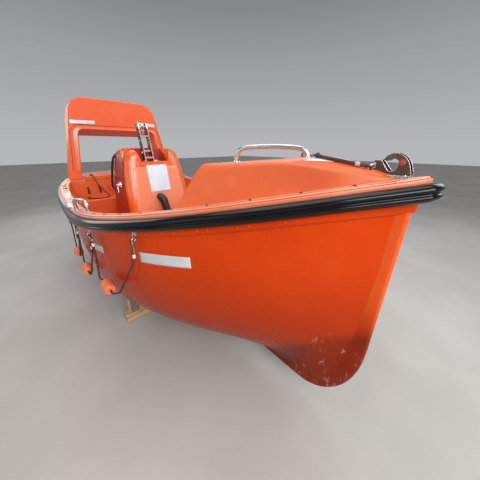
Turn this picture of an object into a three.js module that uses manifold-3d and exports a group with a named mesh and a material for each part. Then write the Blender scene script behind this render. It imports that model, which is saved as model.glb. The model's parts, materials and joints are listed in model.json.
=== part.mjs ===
// Open rigid rescue boat (lifeboat) of moulded glass fibre, ashore on a timber cradle.
// Millimetres, +X forward, +Y port, +Z up. The floor is z = 0.
// Inside the boat group x runs from the stern and z from the underside of the keel.

import * as THREE from 'three';
import { mergeVertices } from 'three/addons/utils/BufferGeometryUtils.js';
import Module from 'manifold-3d';

const wasm = await Module();
wasm.setup();

// driving dimensions

const HALF_BEAM = 991; // outside of the fender
const MAX_BEAM_X = 2017; // station of the greatest beam
const BOW_VERTEX_X = 4500; // where the bow curve would close if it were not rounded
const STERN_POWER = [5, 2.7]; // how square the stern quarters are
const BOW_POWER = [2.49, 0.8]; // how full the bow is
const BOW_ROUND_X = 4250; // from here the bow runs straight into its round tip
const BOW_TIP_ANGLE = 33.5;
const BOW_TIP_RADIUS = 80;

const SHEER = [1238, -1423, 2520, -842]; // height of the fender's middle, cubic in x / 4500
const SHEER_EASE = { x: 600, slope: -0.09, curve: -7.25e-5 }; // aft of x the sheer eases out

const KEEL_HEIGHT = 150; // keel above the floor, on the cradle
const GAP = 0.3; // between neighbouring solids

const FENDER = { height: 76, depth: 55.7 };
const RIM = { inset: 42, thickness: 28, top: 66 }; // deck moulding round the gunwale
const RIM_LAND = RIM.top - RIM.thickness; // underside of the rim above the fender's middle
const FLANGE = { inset: 56, thick: 7, drop: 75, step: 84 }; // strip moulded on under the fender
const TOPSIDE_INSET = 82;
// profile of the keel and stem: flat to the foot, a quarter ellipse up to the toe, then leaning forward
const STEM = { foot: 3980, toe: 4341, rise: 550, lean: 11 / 850 };

const SOLE_Z = 610;
const SKIN = 8; // liner and moulding thickness
// cockpit walls at the rim and, drawn in, at the sole
const COCKPIT = { inset: 142, aft: 560, fore: 3390 };
const WELL = { inset: 240, aft: 560, fore: 3180 };

const ORANGE = { color: 0xe2491c, roughness: 0.35, metalness: 0 };
const DARK_ORANGE = { color: 0xc83a18, roughness: 0.4, metalness: 0 };
const BRIGHT_ORANGE = { color: 0xff6420, roughness: 0.3, metalness: 0 };
const STEEL = { color: 0xc9ccd0, roughness: 0.2, metalness: 1 };
const RUBBER = { color: 0x151719, roughness: 0.5, metalness: 0 };
const BLACK = { color: 0x1b1b1d, roughness: 0.6, metalness: 0 };
const ROPE = { color: 0x5a1c1a, roughness: 0.9, metalness: 0 };
const FLOAT = { color: 0xf07a50, roughness: 0.5, metalness: 0 };
const WHITE = { color: 0xf3f5f7, roughness: 0.4, metalness: 0 };
const GREY = { color: 0x5d6468, roughness: 0.5, metalness: 0.3 };
const BRONZE = { color: 0xb08d57, roughness: 0.3, metalness: 1 };
const TIMBER = { color: 0x9a7b55, roughness: 0.85, metalness: 0 };

// small helpers

const rad = THREE.MathUtils.degToRad;
const lerp = THREE.MathUtils.lerp;
const V = (x, y, z) => new THREE.Vector3(x, y, z);

// value at x in a table of [x, value] rows
function along(table, x) {
  if (x <= table[0][0]) return table[0][1];
  for (let i = 1; i < table.length; i++) {
    const [x0, v0] = table[i - 1];
    const [x1, v1] = table[i];
    if (x <= x1) return lerp(v0, v1, (x - x0) / (x1 - x0));
  }
  return table[table.length - 1][1];
}

function sheer(x) {
  const e = SHEER_EASE;
  const t = Math.max(x, e.x) / BOW_VERTEX_X;
  const z = SHEER[0] + SHEER[1] * t + SHEER[2] * t * t + SHEER[3] * t ** 3;
  return x < e.x ? z + e.slope * (x - e.x) + e.curve * (x * x - e.x * e.x) : z;
}

const rimTop = (x) => sheer(x) + RIM.top;

// half the outline of the fender's outside, from the stern's middle to the bow's tip
function gunwaleLine() {
  const points = [];
  for (let a = 0; a < 90; a += 1.5) {
    const c = Math.cos(rad(a));
    const y = HALF_BEAM * (1 - c ** STERN_POWER[0]) ** (1 / STERN_POWER[1]);
    points.push([MAX_BEAM_X * (1 - c), y]);
  }
  const bowHalf = (x) => {
    const s = (x - MAX_BEAM_X) / (BOW_VERTEX_X - MAX_BEAM_X);
    return HALF_BEAM * (1 - s ** BOW_POWER[0]) ** (1 / BOW_POWER[1]);
  };
  for (let x = MAX_BEAM_X; x < BOW_ROUND_X; x += 25) points.push([x, bowHalf(x)]);
  const tip = rad(BOW_TIP_ANGLE);
  const fromCentre = (bowHalf(BOW_ROUND_X) * Math.cos(tip) - BOW_TIP_RADIUS) / Math.sin(tip);
  const centre = BOW_ROUND_X + fromCentre;
  for (let k = 0; k <= 8; k++) {
    const a = lerp(Math.PI / 2 - tip, 0, k / 8);
    points.push([centre + BOW_TIP_RADIUS * Math.cos(a), BOW_TIP_RADIUS * Math.sin(a)]);
  }
  return points;
}

const OUTLINE = gunwaleLine();
const LENGTH = OUTLINE[OUTLINE.length - 1][0];

// the half outline moved inwards and cut into n equal or end-bunched steps
function insetLine(inset, n, bunch = 0.45) {
  const moved = [];
  OUTLINE.forEach(([x, y], i) => {
    const [xa, ya] = OUTLINE[Math.max(0, i - 1)];
    const [xb, yb] = OUTLINE[Math.min(OUTLINE.length - 1, i + 1)];
    let nx = -(yb - ya);
    let ny = xb - xa;
    if (i === 0) [nx, ny] = [-1, 0];
    if (i === OUTLINE.length - 1) [nx, ny] = [1, 0];
    const size = Math.hypot(nx, ny);
    moved.push([x - (nx / size) * inset, y - (ny / size) * inset]);
  });
  // start on the centreline at the stern and stop where the bow curve meets it
  const kept = [[moved[0][0], 0]];
  for (let i = 1; i < moved.length; i++) {
    const [x, y] = moved[i];
    const last = kept[kept.length - 1];
    if (y <= 0.5) {
      if (x < LENGTH / 2) continue;
      if (y < last[1]) {
        const t = last[1] / (last[1] - Math.min(y, last[1] - 0.5));
        kept.push([lerp(last[0], x, Math.min(t, 1)), 0]);
      }
      break;
    }
    if (x <= last[0] && x > LENGTH / 2) continue;
    kept.push([x, y]);
  }
  kept[kept.length - 1][1] = 0;
  const arc = [0];
  for (let i = 1; i < kept.length; i++) {
    arc.push(arc[i - 1] + Math.hypot(kept[i][0] - kept[i - 1][0], kept[i][1] - kept[i - 1][1]));
  }
  const total = arc[arc.length - 1];
  const out = [];
  for (let k = 0; k <= n; k++) {
    const u = k / n;
    const s = total * lerp(u, 0.5 - 0.5 * Math.cos(Math.PI * u), bunch);
    let i = 1;
    while (i < arc.length - 1 && arc[i] < s) i++;
    const t = (s - arc[i - 1]) / (arc[i] - arc[i - 1]);
    out.push([lerp(kept[i - 1][0], kept[i][0], t), lerp(kept[i - 1][1], kept[i][1], t)]);
  }
  out[0][1] = 0;
  out[n][1] = 0;
  return out;
}

// half breadth of the line at a given inset, at station x
const halfLines = new Map();
function halfAt(inset, x) {
  if (!halfLines.has(inset)) {
    const line = insetLine(inset, 160, 0);
    halfLines.set(inset, line.filter((p, i) => i === 0 || p[0] > line[i - 1][0]));
  }
  return along(halfLines.get(inset), x);
}

function geometryOf(points, faces) {
  const g = new THREE.BufferGeometry();
  g.setAttribute('position', new THREE.Float32BufferAttribute(points.flat(), 3));
  g.setIndex(faces.flat());
  return g;
}

// closed body from levels of half lines: each level is a list of [x, y >= 0, z], the ends on y = 0
function symmetricBody(levels) {
  const n = levels[0].length - 1;
  const points = [];
  const id = levels.map((level) => {
    const side = [[], []];
    level.forEach(([x, y, z], i) => {
      side[0][i] = points.push([x, -y, z]) - 1;
      side[1][i] = i === 0 || i === n ? side[0][i] : points.push([x, y, z]) - 1;
    });
    return side;
  });
  const faces = [];
  const quad = (a, b, c, d) => {
    if (a !== b && b !== c && a !== c) faces.push([a, b, c]);
    if (a !== c && c !== d && a !== d) faces.push([a, c, d]);
  };
  const last = levels.length - 1;
  for (let i = 0; i < n; i++) {
    for (let k = 0; k < last; k++) {
      quad(id[k][0][i], id[k + 1][0][i], id[k + 1][0][i + 1], id[k][0][i + 1]);
      quad(id[k][1][i + 1], id[k + 1][1][i + 1], id[k + 1][1][i], id[k][1][i]);
    }
    quad(id[0][0][i], id[0][0][i + 1], id[0][1][i + 1], id[0][1][i]);
    quad(id[last][0][i + 1], id[last][0][i], id[last][1][i], id[last][1][i + 1]);
  }
  return geometryOf(points, faces);
}

// closed body through rings of equal length, with flat ends
function ringBody(rings, closed = false) {
  const m = rings[0].length;
  const faces = [];
  const count = closed ? rings.length : rings.length - 1;
  for (let k = 0; k < count; k++) {
    const next = (k + 1) % rings.length;
    for (let j = 0; j < m; j++) {
      const a = k * m + j;
      const b = k * m + ((j + 1) % m);
      const c = next * m + ((j + 1) % m);
      const d = next * m + j;
      faces.push([a, b, c], [a, c, d]);
    }
  }
  if (!closed) {
    const end = (rings.length - 1) * m;
    for (let j = 1; j < m - 1; j++) {
      faces.push([0, j + 1, j], [end, end + j, end + j + 1]);
    }
  }
  return geometryOf(rings.flat(), faces);
}

function toSolid(geometry) {
  const g = geometry.clone();
  for (const name of Object.keys(g.attributes)) if (name !== 'position') g.deleteAttribute(name);
  const merged = mergeVertices(g, 1e-3);
  const pos = Float32Array.from(merged.attributes.position.array);
  let tri = Uint32Array.from(merged.index.array);
  let solid = new wasm.Manifold(new wasm.Mesh({ numProp: 3, vertProperties: pos, triVerts: tri }));
  if (solid.volume() < 0) {
    tri = tri.slice();
    for (let i = 0; i < tri.length; i += 3) [tri[i], tri[i + 1]] = [tri[i + 1], tri[i]];
    solid = new wasm.Manifold(new wasm.Mesh({ numProp: 3, vertProperties: pos, triVerts: tri }));
  }
  return solid;
}

function toGeometry(solid) {
  const m = solid.getMesh();
  const g = new THREE.BufferGeometry();
  const pos = new Float32Array((m.vertProperties.length / m.numProp) * 3);
  for (let i = 0; i < pos.length / 3; i++) {
    for (let j = 0; j < 3; j++) pos[i * 3 + j] = m.vertProperties[i * m.numProp + j];
  }
  g.setAttribute('position', new THREE.BufferAttribute(pos, 3));
  g.setIndex(new THREE.BufferAttribute(Uint32Array.from(m.triVerts), 1));
  return g;
}

const moved = (g, x, y, z) => g.translate(x, y, z);

// box by its lowest and highest corners
function box(x0, y0, z0, x1, y1, z1) {
  const g = new THREE.BoxGeometry(x1 - x0, y1 - y0, z1 - z0);
  return moved(g, (x0 + x1) / 2, (y0 + y1) / 2, (z0 + z1) / 2);
}

// cylinder between two points
function rod(a, b, radius, sides = 16, radiusB = radius) {
  const axis = b.clone().sub(a);
  const g = new THREE.CylinderGeometry(radiusB, radius, axis.length(), sides);
  g.applyQuaternion(new THREE.Quaternion().setFromUnitVectors(V(0, 1, 0), axis.clone().normalize()));
  const mid = a.clone().add(b).multiplyScalar(0.5);
  return moved(g, mid.x, mid.y, mid.z);
}

function outlineShape(points) {
  return new THREE.Shape(points.map(([u, v]) => new THREE.Vector2(u, v)));
}

// outline in the XY plane raised from z0 to z1
function prismZ(points, z0, z1) {
  const g = new THREE.ExtrudeGeometry(outlineShape(points), { depth: z1 - z0, bevelEnabled: false });
  return moved(g, 0, 0, z0);
}

// outline given as [x, z], through y0..y1
function prismY(points, y0, y1) {
  const g = new THREE.ExtrudeGeometry(outlineShape(points), { depth: y1 - y0, bevelEnabled: false });
  g.rotateX(Math.PI / 2);
  return moved(g, 0, y1, 0);
}

// outline given as [y, z], through x0..x1
function prismX(points, x0, x1) {
  const g = new THREE.ExtrudeGeometry(outlineShape(points), { depth: x1 - x0, bevelEnabled: false });
  g.rotateX(Math.PI / 2).rotateZ(Math.PI / 2);
  return moved(g, x0, 0, 0);
}

// closed outline with its corners rounded; each corner is [u, v, radius]
function rounded(corners, steps = 4) {
  const out = [];
  corners.forEach(([u, v, r], i) => {
    const a = corners[(i + corners.length - 1) % corners.length];
    const b = corners[(i + 1) % corners.length];
    if (!r) return out.push([u, v]);
    const da = Math.hypot(a[0] - u, a[1] - v);
    const db = Math.hypot(b[0] - u, b[1] - v);
    const p = [u + ((a[0] - u) / da) * r, v + ((a[1] - v) / da) * r];
    const q = [u + ((b[0] - u) / db) * r, v + ((b[1] - v) / db) * r];
    for (let k = 0; k <= steps; k++) {
      const t = k / steps;
      const w = [(1 - t) ** 2, 2 * t * (1 - t), t * t];
      out.push([w[0] * p[0] + w[1] * u + w[2] * q[0], w[0] * p[1] + w[1] * v + w[2] * q[1]]);
    }
    return out;
  });
  return out;
}

function tube(points, radius, steps, sides = 8, tension = 0.5) {
  const path = new THREE.CatmullRomCurve3(points, false, 'centripetal', tension);
  const circle = [];
  for (let k = 0; k < sides; k++) {
    const a = (2 * Math.PI * k) / sides;
    circle.push([radius * Math.cos(a), radius * Math.sin(a)]);
  }
  return new THREE.ExtrudeGeometry(outlineShape(circle), { steps, extrudePath: path, bevelEnabled: false });
}

function union(...geometries) {
  return geometries.map(toSolid).reduce((a, b) => a.add(b));
}

const boat = new THREE.Group();

function add(name, shape, look, parent = boat) {
  const geometry = shape.isBufferGeometry ? toGeometry(toSolid(shape)) : toGeometry(shape);
  const mesh = new THREE.Mesh(geometry, new THREE.MeshStandardMaterial(look));
  mesh.name = name;
  parent.add(mesh);
  return mesh;
}

const SIDES = [['starboard', -1], ['port', 1]];

// hull

const RINGS = 44; // steps along each half outline
// underside of the canoe body above the keel's underside
const BODY_BOTTOM = [[82, 400], [300, 386], [500, 366], [700, 322], [850, 250], [1000, 178], [1250, 112],
  [1500, 76], [2000, 60], [2600, 54], [3200, 51], [3400, 55], [3600, 68], [3800, 94], [3950, 130],
  [4100, 190],
  [4200, 270], [4280, 380], [4352, 600]];
// section fullness along the boat: breadth = (1 - (1 - h)^a)^(1 / b)
const SECTION_A = [[600, 3.0], [1400, 3.6], [2200, 3.8], [3000, 3.1], [3600, 2.3], [4300, 1.7]];
const SECTION_B = [[600, 2.8], [1400, 3.9], [2200, 3.8], [3000, 2.4], [3600, 1.6], [3900, 1.35],
  [4300, 1.1]];
// where the side starts to fair into the keel, out from the middle, and how far down the keel it comes
const FAIR_OUT = [[762, 40], [1000, 90], [1500, 110], [3200, 120], [3600, 110], [3850, 90], [4100, 80],
  [4250, 60], [4352, 40]];
const FAIR_DOWN = [[762, 0], [950, 0.5], [3200, 0.6], [3700, 0.7], [4000, 0.8], [4352, 0.5]];
const LEVELS = [1, 0.84, 0.67, 0.52, 0.38, 0.27, 0.18, 0.1, 0.04, 0];
const FAIR_STEPS = [0.3, 0.6, 0.82, 1];
const KEEL = { half: 26, aft: 762 };

// underside of the keel and forefoot
function keelBottom(x) {
  const d = Math.min((x - STEM.foot) / (STEM.toe - STEM.foot), 1);
  return d <= 0 ? 0 : STEM.rise * (1 - Math.sqrt(1 - d * d));
}

// half section at station x as [y, z] from the flange down to the side of the keel
function halfSection(x, half) {
  const top = sheer(x) - FLANGE.step;
  const low = along(BODY_BOTTOM, x);
  const [a, b] = [along(SECTION_A, x), along(SECTION_B, x)];
  const bar = x > KEEL.aft ? KEEL.half - 2 : 0;
  const out = Math.min(along(FAIR_OUT, x), half * 0.6);
  const h1 = half > 1 ? 1 - (1 - (out / half) ** b) ** (1 / a) : 0;
  const points = LEVELS.map((t) => {
    const h = lerp(h1, 1, t);
    return [half * (1 - (1 - h) ** a) ** (1 / b), lerp(low, top, h)];
  });
  const [[ya, za], [yb, zb]] = points.slice(-2);
  const down = lerp(low, keelBottom(x), along(FAIR_DOWN, x));
  const wide = yb > bar;
  const bend = wide ? [bar, Math.max(zb - ((yb - bar) * (za - zb)) / Math.max(ya - yb, 1e-6), down)]
    : [bar && yb, zb];
  const end = wide ? [bar, Math.min(down, zb)] : [yb / 2, zb];
  for (const t of FAIR_STEPS) {
    const w = [(1 - t) ** 2, 2 * t * (1 - t), t * t];
    points.push([w[0] * yb + w[1] * bend[0] + w[2] * end[0], w[0] * zb + w[1] * bend[1] + w[2] * end[1]]);
  }
  return points;
}

function hullBody() {
  const level = (inset, dz) => insetLine(inset, RINGS).map(([x, y]) => [x, y, sheer(x) + dz]);
  const levels = [
    level(FLANGE.inset, RIM_LAND - GAP),
    level(FLANGE.inset, -FENDER.height / 2),
    level(FLANGE.inset + FLANGE.thick, -FENDER.height / 2 - 1),
    level(FLANGE.inset + FLANGE.thick, -FLANGE.drop - 1),
  ];
  const stations = insetLine(TOPSIDE_INSET, RINGS).map(([x, y]) => {
    const [top, low] = [sheer(x) - FLANGE.step, along(BODY_BOTTOM, x)];
    const tuck = 60 * Math.max(0, 1 - x / 900);
    return halfSection(x, y).map(([w, z]) => [x + tuck * Math.min(1 - (z - low) / (top - low), 1), w, z]);
  });
  for (let k = 0; k < stations[0].length; k++) {
    levels.push(stations.map((points, i) => {
      const [x, y, z] = points[k];
      return [x, i === 0 || i === RINGS ? 0 : y, z];
    }));
  }
  return toSolid(symmetricBody(levels));
}

// keel, forefoot and stem in one bar with a rounded edge
const stemX = (z) => STEM.toe + STEM.lean * (z - STEM.rise);
function keelBar() {
  const outer = [[KEEL.aft, 0], [STEM.foot, 0]];
  for (let a = 10; a <= 90; a += 10) {
    outer.push([STEM.foot + (STEM.toe - STEM.foot) * Math.sin(rad(a)), STEM.rise * (1 - Math.cos(rad(a)))]);
  }
  const top = sheer(STEM.toe) - FLANGE.drop - 2;
  outer.push([stemX(top), top]);
  const inner = [[4240, top], [4205, 640], [4050, 360], [3700, 200], [1700, 120], [1000, 230],
    [KEEL.aft, 300]];
  const slim = (d) => outer.map(([x, z], i) => {
    const [xa, za] = outer[Math.max(0, i - 1)];
    const [xb, zb] = outer[Math.min(outer.length - 1, i + 1)];
    const s = Math.hypot(xb - xa, zb - za);
    return [x - ((zb - za) / s) * d, z + ((xb - xa) / s) * d];
  });
  return [[-26, 12], [-18, 3], [-9, 0], [9, 0], [18, 3], [26, 12]].map(([y, d]) =>
    [...slim(d), ...inner].map(([x, z]) => [x, y, z]));
}

// side-profile rings may be concave, so each slice is triangulated by the shape extruder
function keelSolid() {
  const rings = keelBar();
  let solid = null;
  for (let k = 0; k < rings.length - 1; k++) {
    const flat = rings[k].map(([x, , z]) => new THREE.Vector2(x, z));
    const caps = THREE.ShapeUtils.triangulateShape(flat, []);
    const m = flat.length;
    const points = [...rings[k], ...rings[k + 1]];
    const faces = [];
    for (const [a, b, c] of caps) faces.push([a, b, c], [m + a, m + c, m + b]);
    for (let j = 0; j < m; j++) {
      const q = (j + 1) % m;
      faces.push([j, m + j, m + q], [j, m + q, q]);
    }
    const slice = toSolid(geometryOf(points, faces));
    solid = solid ? solid.add(slice) : slice;
  }
  return solid;
}

// cockpit outline from sole (t = 0) to rim (t = 1), a chosen distance outside the cockpit's own walls
function cockpitOutline(t, outward) {
  const aft = lerp(WELL.aft, COCKPIT.aft, t) - outward;
  const fore = lerp(WELL.fore, COCKPIT.fore, t) + outward;
  const inset = lerp(WELL.inset, COCKPIT.inset, t) - outward;
  const half = (x, less) => [x, halfAt(inset, x) - less];
  const side = [half(aft, 70), half(aft + 22, 22)];
  for (let k = 0; k <= 26; k++) side.push(half(lerp(aft + 60, fore - 40, k / 26), 0));
  side.push(half(fore - 8, 14), half(fore, 50));
  return [...side.map(([x, y]) => [x, -y]), ...side.reverse()];
}

function tubBody(outward) {
  const level = (t, z) => cockpitOutline(t, outward).map(([x, y]) => [x, y, z]);
  return toSolid(ringBody([level(0, SOLE_Z - outward), level(1, 1100), level(1, 2000)]));
}

const SHAFT_RADIUS = 12;
const PROP = { x: 550, z: 165, radius: 124, rise: 13 }; // shaft climbs forward by `rise` degrees
const NOZZLE = { inner: 132, outer: 146, length: 124 };
const PIT = { x0: 1130, x1: 1500, half: 180, floor: 240 };
const shaftDir = V(Math.cos(rad(PROP.rise)), 0, Math.sin(rad(PROP.rise)));
const onShaft = (s) => V(PROP.x, 0, PROP.z).addScaledVector(shaftDir, s);

const tubOuter = tubBody(SKIN);
const tubInner = tubBody(0);
const pitHole = toSolid(box(PIT.x0, -PIT.half, PIT.floor, PIT.x1, PIT.half, SOLE_Z + 20));

const STOCK = { radius: 14, top: 430 };
const hull = hullBody()
  .add(keelSolid())
  .subtract(tubBody(SKIN + GAP))
  .subtract(pitHole)
  .subtract(toSolid(rod(onShaft(60), onShaft(620), SHAFT_RADIUS + GAP, 16)))
  .subtract(toSolid(rod(V(PROP.x, 0, 200), V(PROP.x, 0, STOCK.top + GAP), STOCK.radius + GAP, 16)));
add('hull', hull, ORANGE);

// deck and cockpit liner

function deckSlab(inset, topOf, bottomOf, n = RINGS) {
  const line = insetLine(inset, n);
  return toSolid(symmetricBody([
    line.map(([x, y]) => [x, y, topOf(x)]),
    line.map(([x, y]) => [x, y, bottomOf(x)]),
  ]));
}

const slab = deckSlab(RIM.inset, rimTop, (x) => sheer(x) + RIM_LAND);
const underDeck = deckSlab(RIM.inset + 10, (x) => sheer(x) + RIM_LAND + 6, () => 300);
const STERN_BOX = { x0: 300, half: 598, top: 1215 };
const sternBox = toSolid(box(STERN_BOX.x0, -STERN_BOX.half, 1100, 570, STERN_BOX.half, STERN_BOX.top))
  .subtract(deckSlab(RIM.inset - 10, (x) => rimTop(x) - 14, () => 300));
const liner = slab.add(sternBox).add(tubOuter.intersect(underDeck)).subtract(tubInner).subtract(pitHole);
add('deck_liner', liner, ORANGE);

// fender

// section of the rubber fender: inset from the outside, height about its middle
const FENDER_SECTION = [[55.7, 1], [55.7, -1], [34, -1], [10, -0.8], [0, -0.45], [5, -0.06], [5, 0.06],
  [0, 0.45], [10, 0.8], [34, 1]];
function fenderBody() {
  const rows = FENDER_SECTION.map(([inset, v]) =>
    insetLine(inset, RINGS).map(([x, y]) => [x, y, sheer(x) + (v * FENDER.height) / 2]));
  const rings = [];
  for (let i = 0; i <= RINGS; i++) rings.push(rows.map((r) => [r[i][0], -r[i][1], r[i][2]]));
  for (let i = RINGS - 1; i > 0; i--) rings.push(rows.map((r) => [r[i][0], r[i][1], r[i][2]]));
  return ringBody(rings, true);
}
add('fender', toSolid(fenderBody())
  .subtract(deckSlab(FLANGE.inset - GAP, () => 3000, () => 0))
  .subtract(deckSlab(RIM.inset - 1, () => 3000, (x) => sheer(x) + RIM_LAND - GAP)), RUBBER);

// foredeck trunk

const TRUNK = { aft: 3398, lean: 80, fore: 4300 };
// top: half breadth and height of its edge along the boat, and height of the crown on the centreline
const TRUNK_HALF = [[3400, 425], [3600, 348], [3850, 252], [4100, 152], [4300, 32]];
const TRUNK_Z = [[3400, 1543], [3600, 1550.6], [3760, 1562], [3860, 1566], [3940, 1558], [4060, 1540],
  [4200, 1523], [4300, 1507]];
const TRUNK_CREST = [[3400, 1543], [3500, 1547], [3700, 1566], [3800, 1577], [3900, 1586], [3960, 1584],
  [4050, 1572], [4130, 1560], [4200, 1540], [4300, 1511]];
const crownRise = (x) => along(TRUNK_CREST, x) - along(TRUNK_Z, x);
const TRUNK_FOOT_INSET = 120;

// cuts a piece to stand on the rim
const rimCut = deckSlab(RIM.inset, (x) => rimTop(x) + GAP, (x) => rimTop(x) - 160).scale([1, 1.03, 1]);
const onRim = (solid) => solid.subtract(rimCut);

const trunkFoot = (x) => Math.max(halfAt(TRUNK_FOOT_INSET, x), along(TRUNK_HALF, x) + 12);
const TRUNK_SHOULDER = [0.7, 0.8]; // where the side bends, across and up from the foot

function trunkBody(inward) {
  const stations = [TRUNK.aft, 3520, 3640, 3760, 3880, 4000, 4090, 4160, 4220, 4270];
  const foot = stations.map((x) => trunkFoot(x) - inward);
  const x0 = TRUNK.aft + inward;
  const low = [[x0, 0], ...stations.map((x, i) => [Math.max(x, x0), foot[i]]), [TRUNK.fore - inward, 0]]
    .map(([x, y]) => [x, y, rimTop(x) - 10 - inward * 4]);
  const high = low.map(([x, y]) => {
    const moved = x + TRUNK.lean * Math.max(0, 1 - (x - x0) / 400);
    return [moved, y && Math.max(along(TRUNK_HALF, x) - inward * 0.7, 10), along(TRUNK_Z, moved) - inward];
  });
  const mid = low.map((p, i) => [
    lerp(p[0], high[i][0], TRUNK_SHOULDER[1]), lerp(p[1], high[i][1], TRUNK_SHOULDER[0]),
    lerp(p[2], high[i][2], TRUNK_SHOULDER[1])]);
  const crown = (t) => high.map(([x, y, z]) => [x, y * t, z + crownRise(x) * (1 - t * t)]);
  return toSolid(symmetricBody([crown(0.15), crown(0.6), high, mid, low]));
}

// leaning aft face of the trunk, as a frame of outward, sideways and upward directions
function faceFrame(origin, leanDeg) {
  const n = V(-Math.cos(rad(leanDeg)), 0, Math.sin(rad(leanDeg)));
  const u = V(Math.sin(rad(leanDeg)), 0, Math.cos(rad(leanDeg)));
  const m = new THREE.Matrix4().makeBasis(n, V(0, -1, 0), u);
  m.setPosition(origin);
  return m;
}
const TRUNK_RISE = along(TRUNK_Z, TRUNK.aft + TRUNK.lean) - rimTop(TRUNK.aft) + 10;
const trunkFace = faceFrame(V(TRUNK.aft, 0, rimTop(TRUNK.aft) - 10), THREE.MathUtils.radToDeg(
  Math.atan2(TRUNK.lean, TRUNK_RISE)));
const DOOR = { half: 200, low: 44, high: 204, thick: 13 };
const doorHole = box(-60, -DOOR.half + 14, DOOR.low + 12, 30, DOOR.half - 14, DOOR.high - 12);
const trunkSolid = trunkBody(0);
const trunk = onRim(trunkSolid.subtract(trunkBody(SKIN))
  .subtract(toSolid(doorHole.applyMatrix4(trunkFace))));
add('foredeck_trunk', trunk, DARK_ORANGE);
const trunkLift = trunkSolid.translate([0, 0, GAP]);

const hatchPlate = union(
  box(0.6, -DOOR.half, DOOR.low, DOOR.thick, DOOR.half, DOOR.high),
  box(DOOR.thick - 1, -DOOR.half + 30, DOOR.low + 25, DOOR.thick + 8, DOOR.half - 30, DOOR.high - 25),
  rod(V(12, DOOR.half - 46, 124), V(34, DOOR.half - 46, 124), 9, 12),
  rod(V(31, DOOR.half - 46, 96), V(31, DOOR.half - 46, 152), 6, 10),
);
add('trunk_hatch', toGeometry(hatchPlate).applyMatrix4(trunkFace), DARK_ORANGE);

// hand rail on the crown of the trunk, in line with its starboard edge
const RAIL = { aft: V(3508, -214, 0), fore: V(3874, -34, 0), z: 1627, radius: 13 };
const onRail = (t, z) => RAIL.aft.clone().lerp(RAIL.fore, t).setZ(z);
const rail = tube([onRail(0, 1500), onRail(0.01, 1572), onRail(0.065, 1613), onRail(0.17, RAIL.z),
  onRail(0.84, RAIL.z), onRail(0.945, 1614), onRail(0.995, 1578), onRail(1, 1510)], RAIL.radius, 20, 10);
add('handrail_starboard', toSolid(rail).subtract(trunkLift), STEEL);

// towing and painter fitting at the stem head
const plate = [[4176, 1490], [4318, 1490], [4317, 1534], [4308, 1562], [4299, 1580], [4288, 1593],
  [4275, 1602], [4259, 1609], [4244, 1609], [4231, 1603], [4221, 1593], [4215, 1582], [4229, 1576],
  [4241, 1585], [4256, 1587], [4267, 1580], [4269, 1562], [4265, 1546], [4252, 1538], [4239, 1538],
  [4207, 1580], [4183, 1580], [4176, 1532]];
const PAINTER_PIN = V(4281, 0, 1572);
const bowFrame = [[-30, -22], [22, 30]].map((y) => toSolid(prismY(plate, ...y)))
  .reduce((a, b) => a.add(b))
  .add(toSolid(box(4160, -44, 1485, 4318, 44, 1524)))
  .subtract(trunkLift)
  .subtract(toSolid(rod(V(4281, -70, 1572), V(4281, 70, 1572), 8 + GAP, 14)));
add('bow_hook_frame', onRim(bowFrame), STEEL);
add('bow_hook_pin', union(
  rod(PAINTER_PIN.clone().setY(-38), PAINTER_PIN.clone().setY(38), 8, 14),
  rod(PAINTER_PIN.clone().setY(-42), PAINTER_PIN.clone().setY(-31), 13, 14),
  rod(PAINTER_PIN.clone().setY(31), PAINTER_PIN.clone().setY(42), 13, 14)), STEEL);

// inside the cockpit

const inTub = tubBody(-GAP);
const SEAT_Z = 885;
for (const [side, s] of SIDES) {
  const outer = [[1960, s * 560], [3260, s * 330], [3260, s * 1100], [1960, s * 1100]];
  const bench = toSolid(prismZ(s > 0 ? outer : outer.reverse(), SOLE_Z, SEAT_Z)).intersect(inTub);
  add(`side_bench_${side}`, bench, DARK_ORANGE);
}
const sternSeat = prismZ([[500, -900], [800, -900], [800, 900], [500, 900]], SOLE_Z, SEAT_Z + 10);
add('stern_seat', toSolid(sternSeat).intersect(inTub), DARK_ORANGE);

// console

// height, aft edge and half breadth there, half breadth forward, front edge, half breadth of the front face
const CONSOLE = [
  { z: SOLE_Z + GAP, aft: 1100, half: 405, side: 400, fore: 1938, front: 330 },
  { z: 880, aft: 1185, half: 396, side: 394, fore: 1892, front: 318 },
  { z: 1130, aft: 1264, half: 386, side: 386, fore: 1851, front: 302 },
  { z: 1340, aft: 1331, half: 368, side: 368, fore: 1815, front: 274 },
  { z: 1470, aft: 1372, half: 352, side: 345, fore: 1793, front: 256 },
  { z: 1540, aft: 1394, half: 338, side: 312, fore: 1780, front: 236 },
  { z: 1580, aft: 1408, half: 312, side: 270, fore: 1769, front: 206 },
  { z: 1604, aft: 1424, half: 258, side: 196, fore: 1756, front: 150 },
];
function consoleSolid(d, open = 0) {
  const levels = CONSOLE.map((r, i) => {
    const z = i === 0 ? r.z - open : r.z - (i === CONSOLE.length - 1 ? d : d * 0.4);
    return [[r.aft + d, 0], [r.aft + d, r.half - 40 - d], [r.aft + 34 + d, r.half - d],
      [r.fore - 90, r.side - d], [r.fore - 44 - d * 0.7, r.side - 16 - d * 0.8],
      [r.fore - 12 - d, r.front - d * 0.4], [r.fore - d, r.front * 0.6], [r.fore - d, 0]]
      .map(([x, y]) => [x, y, z]);
  });
  return toSolid(symmetricBody(levels.reverse()));
}
const FRONT_SKIN = 16;
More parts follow.
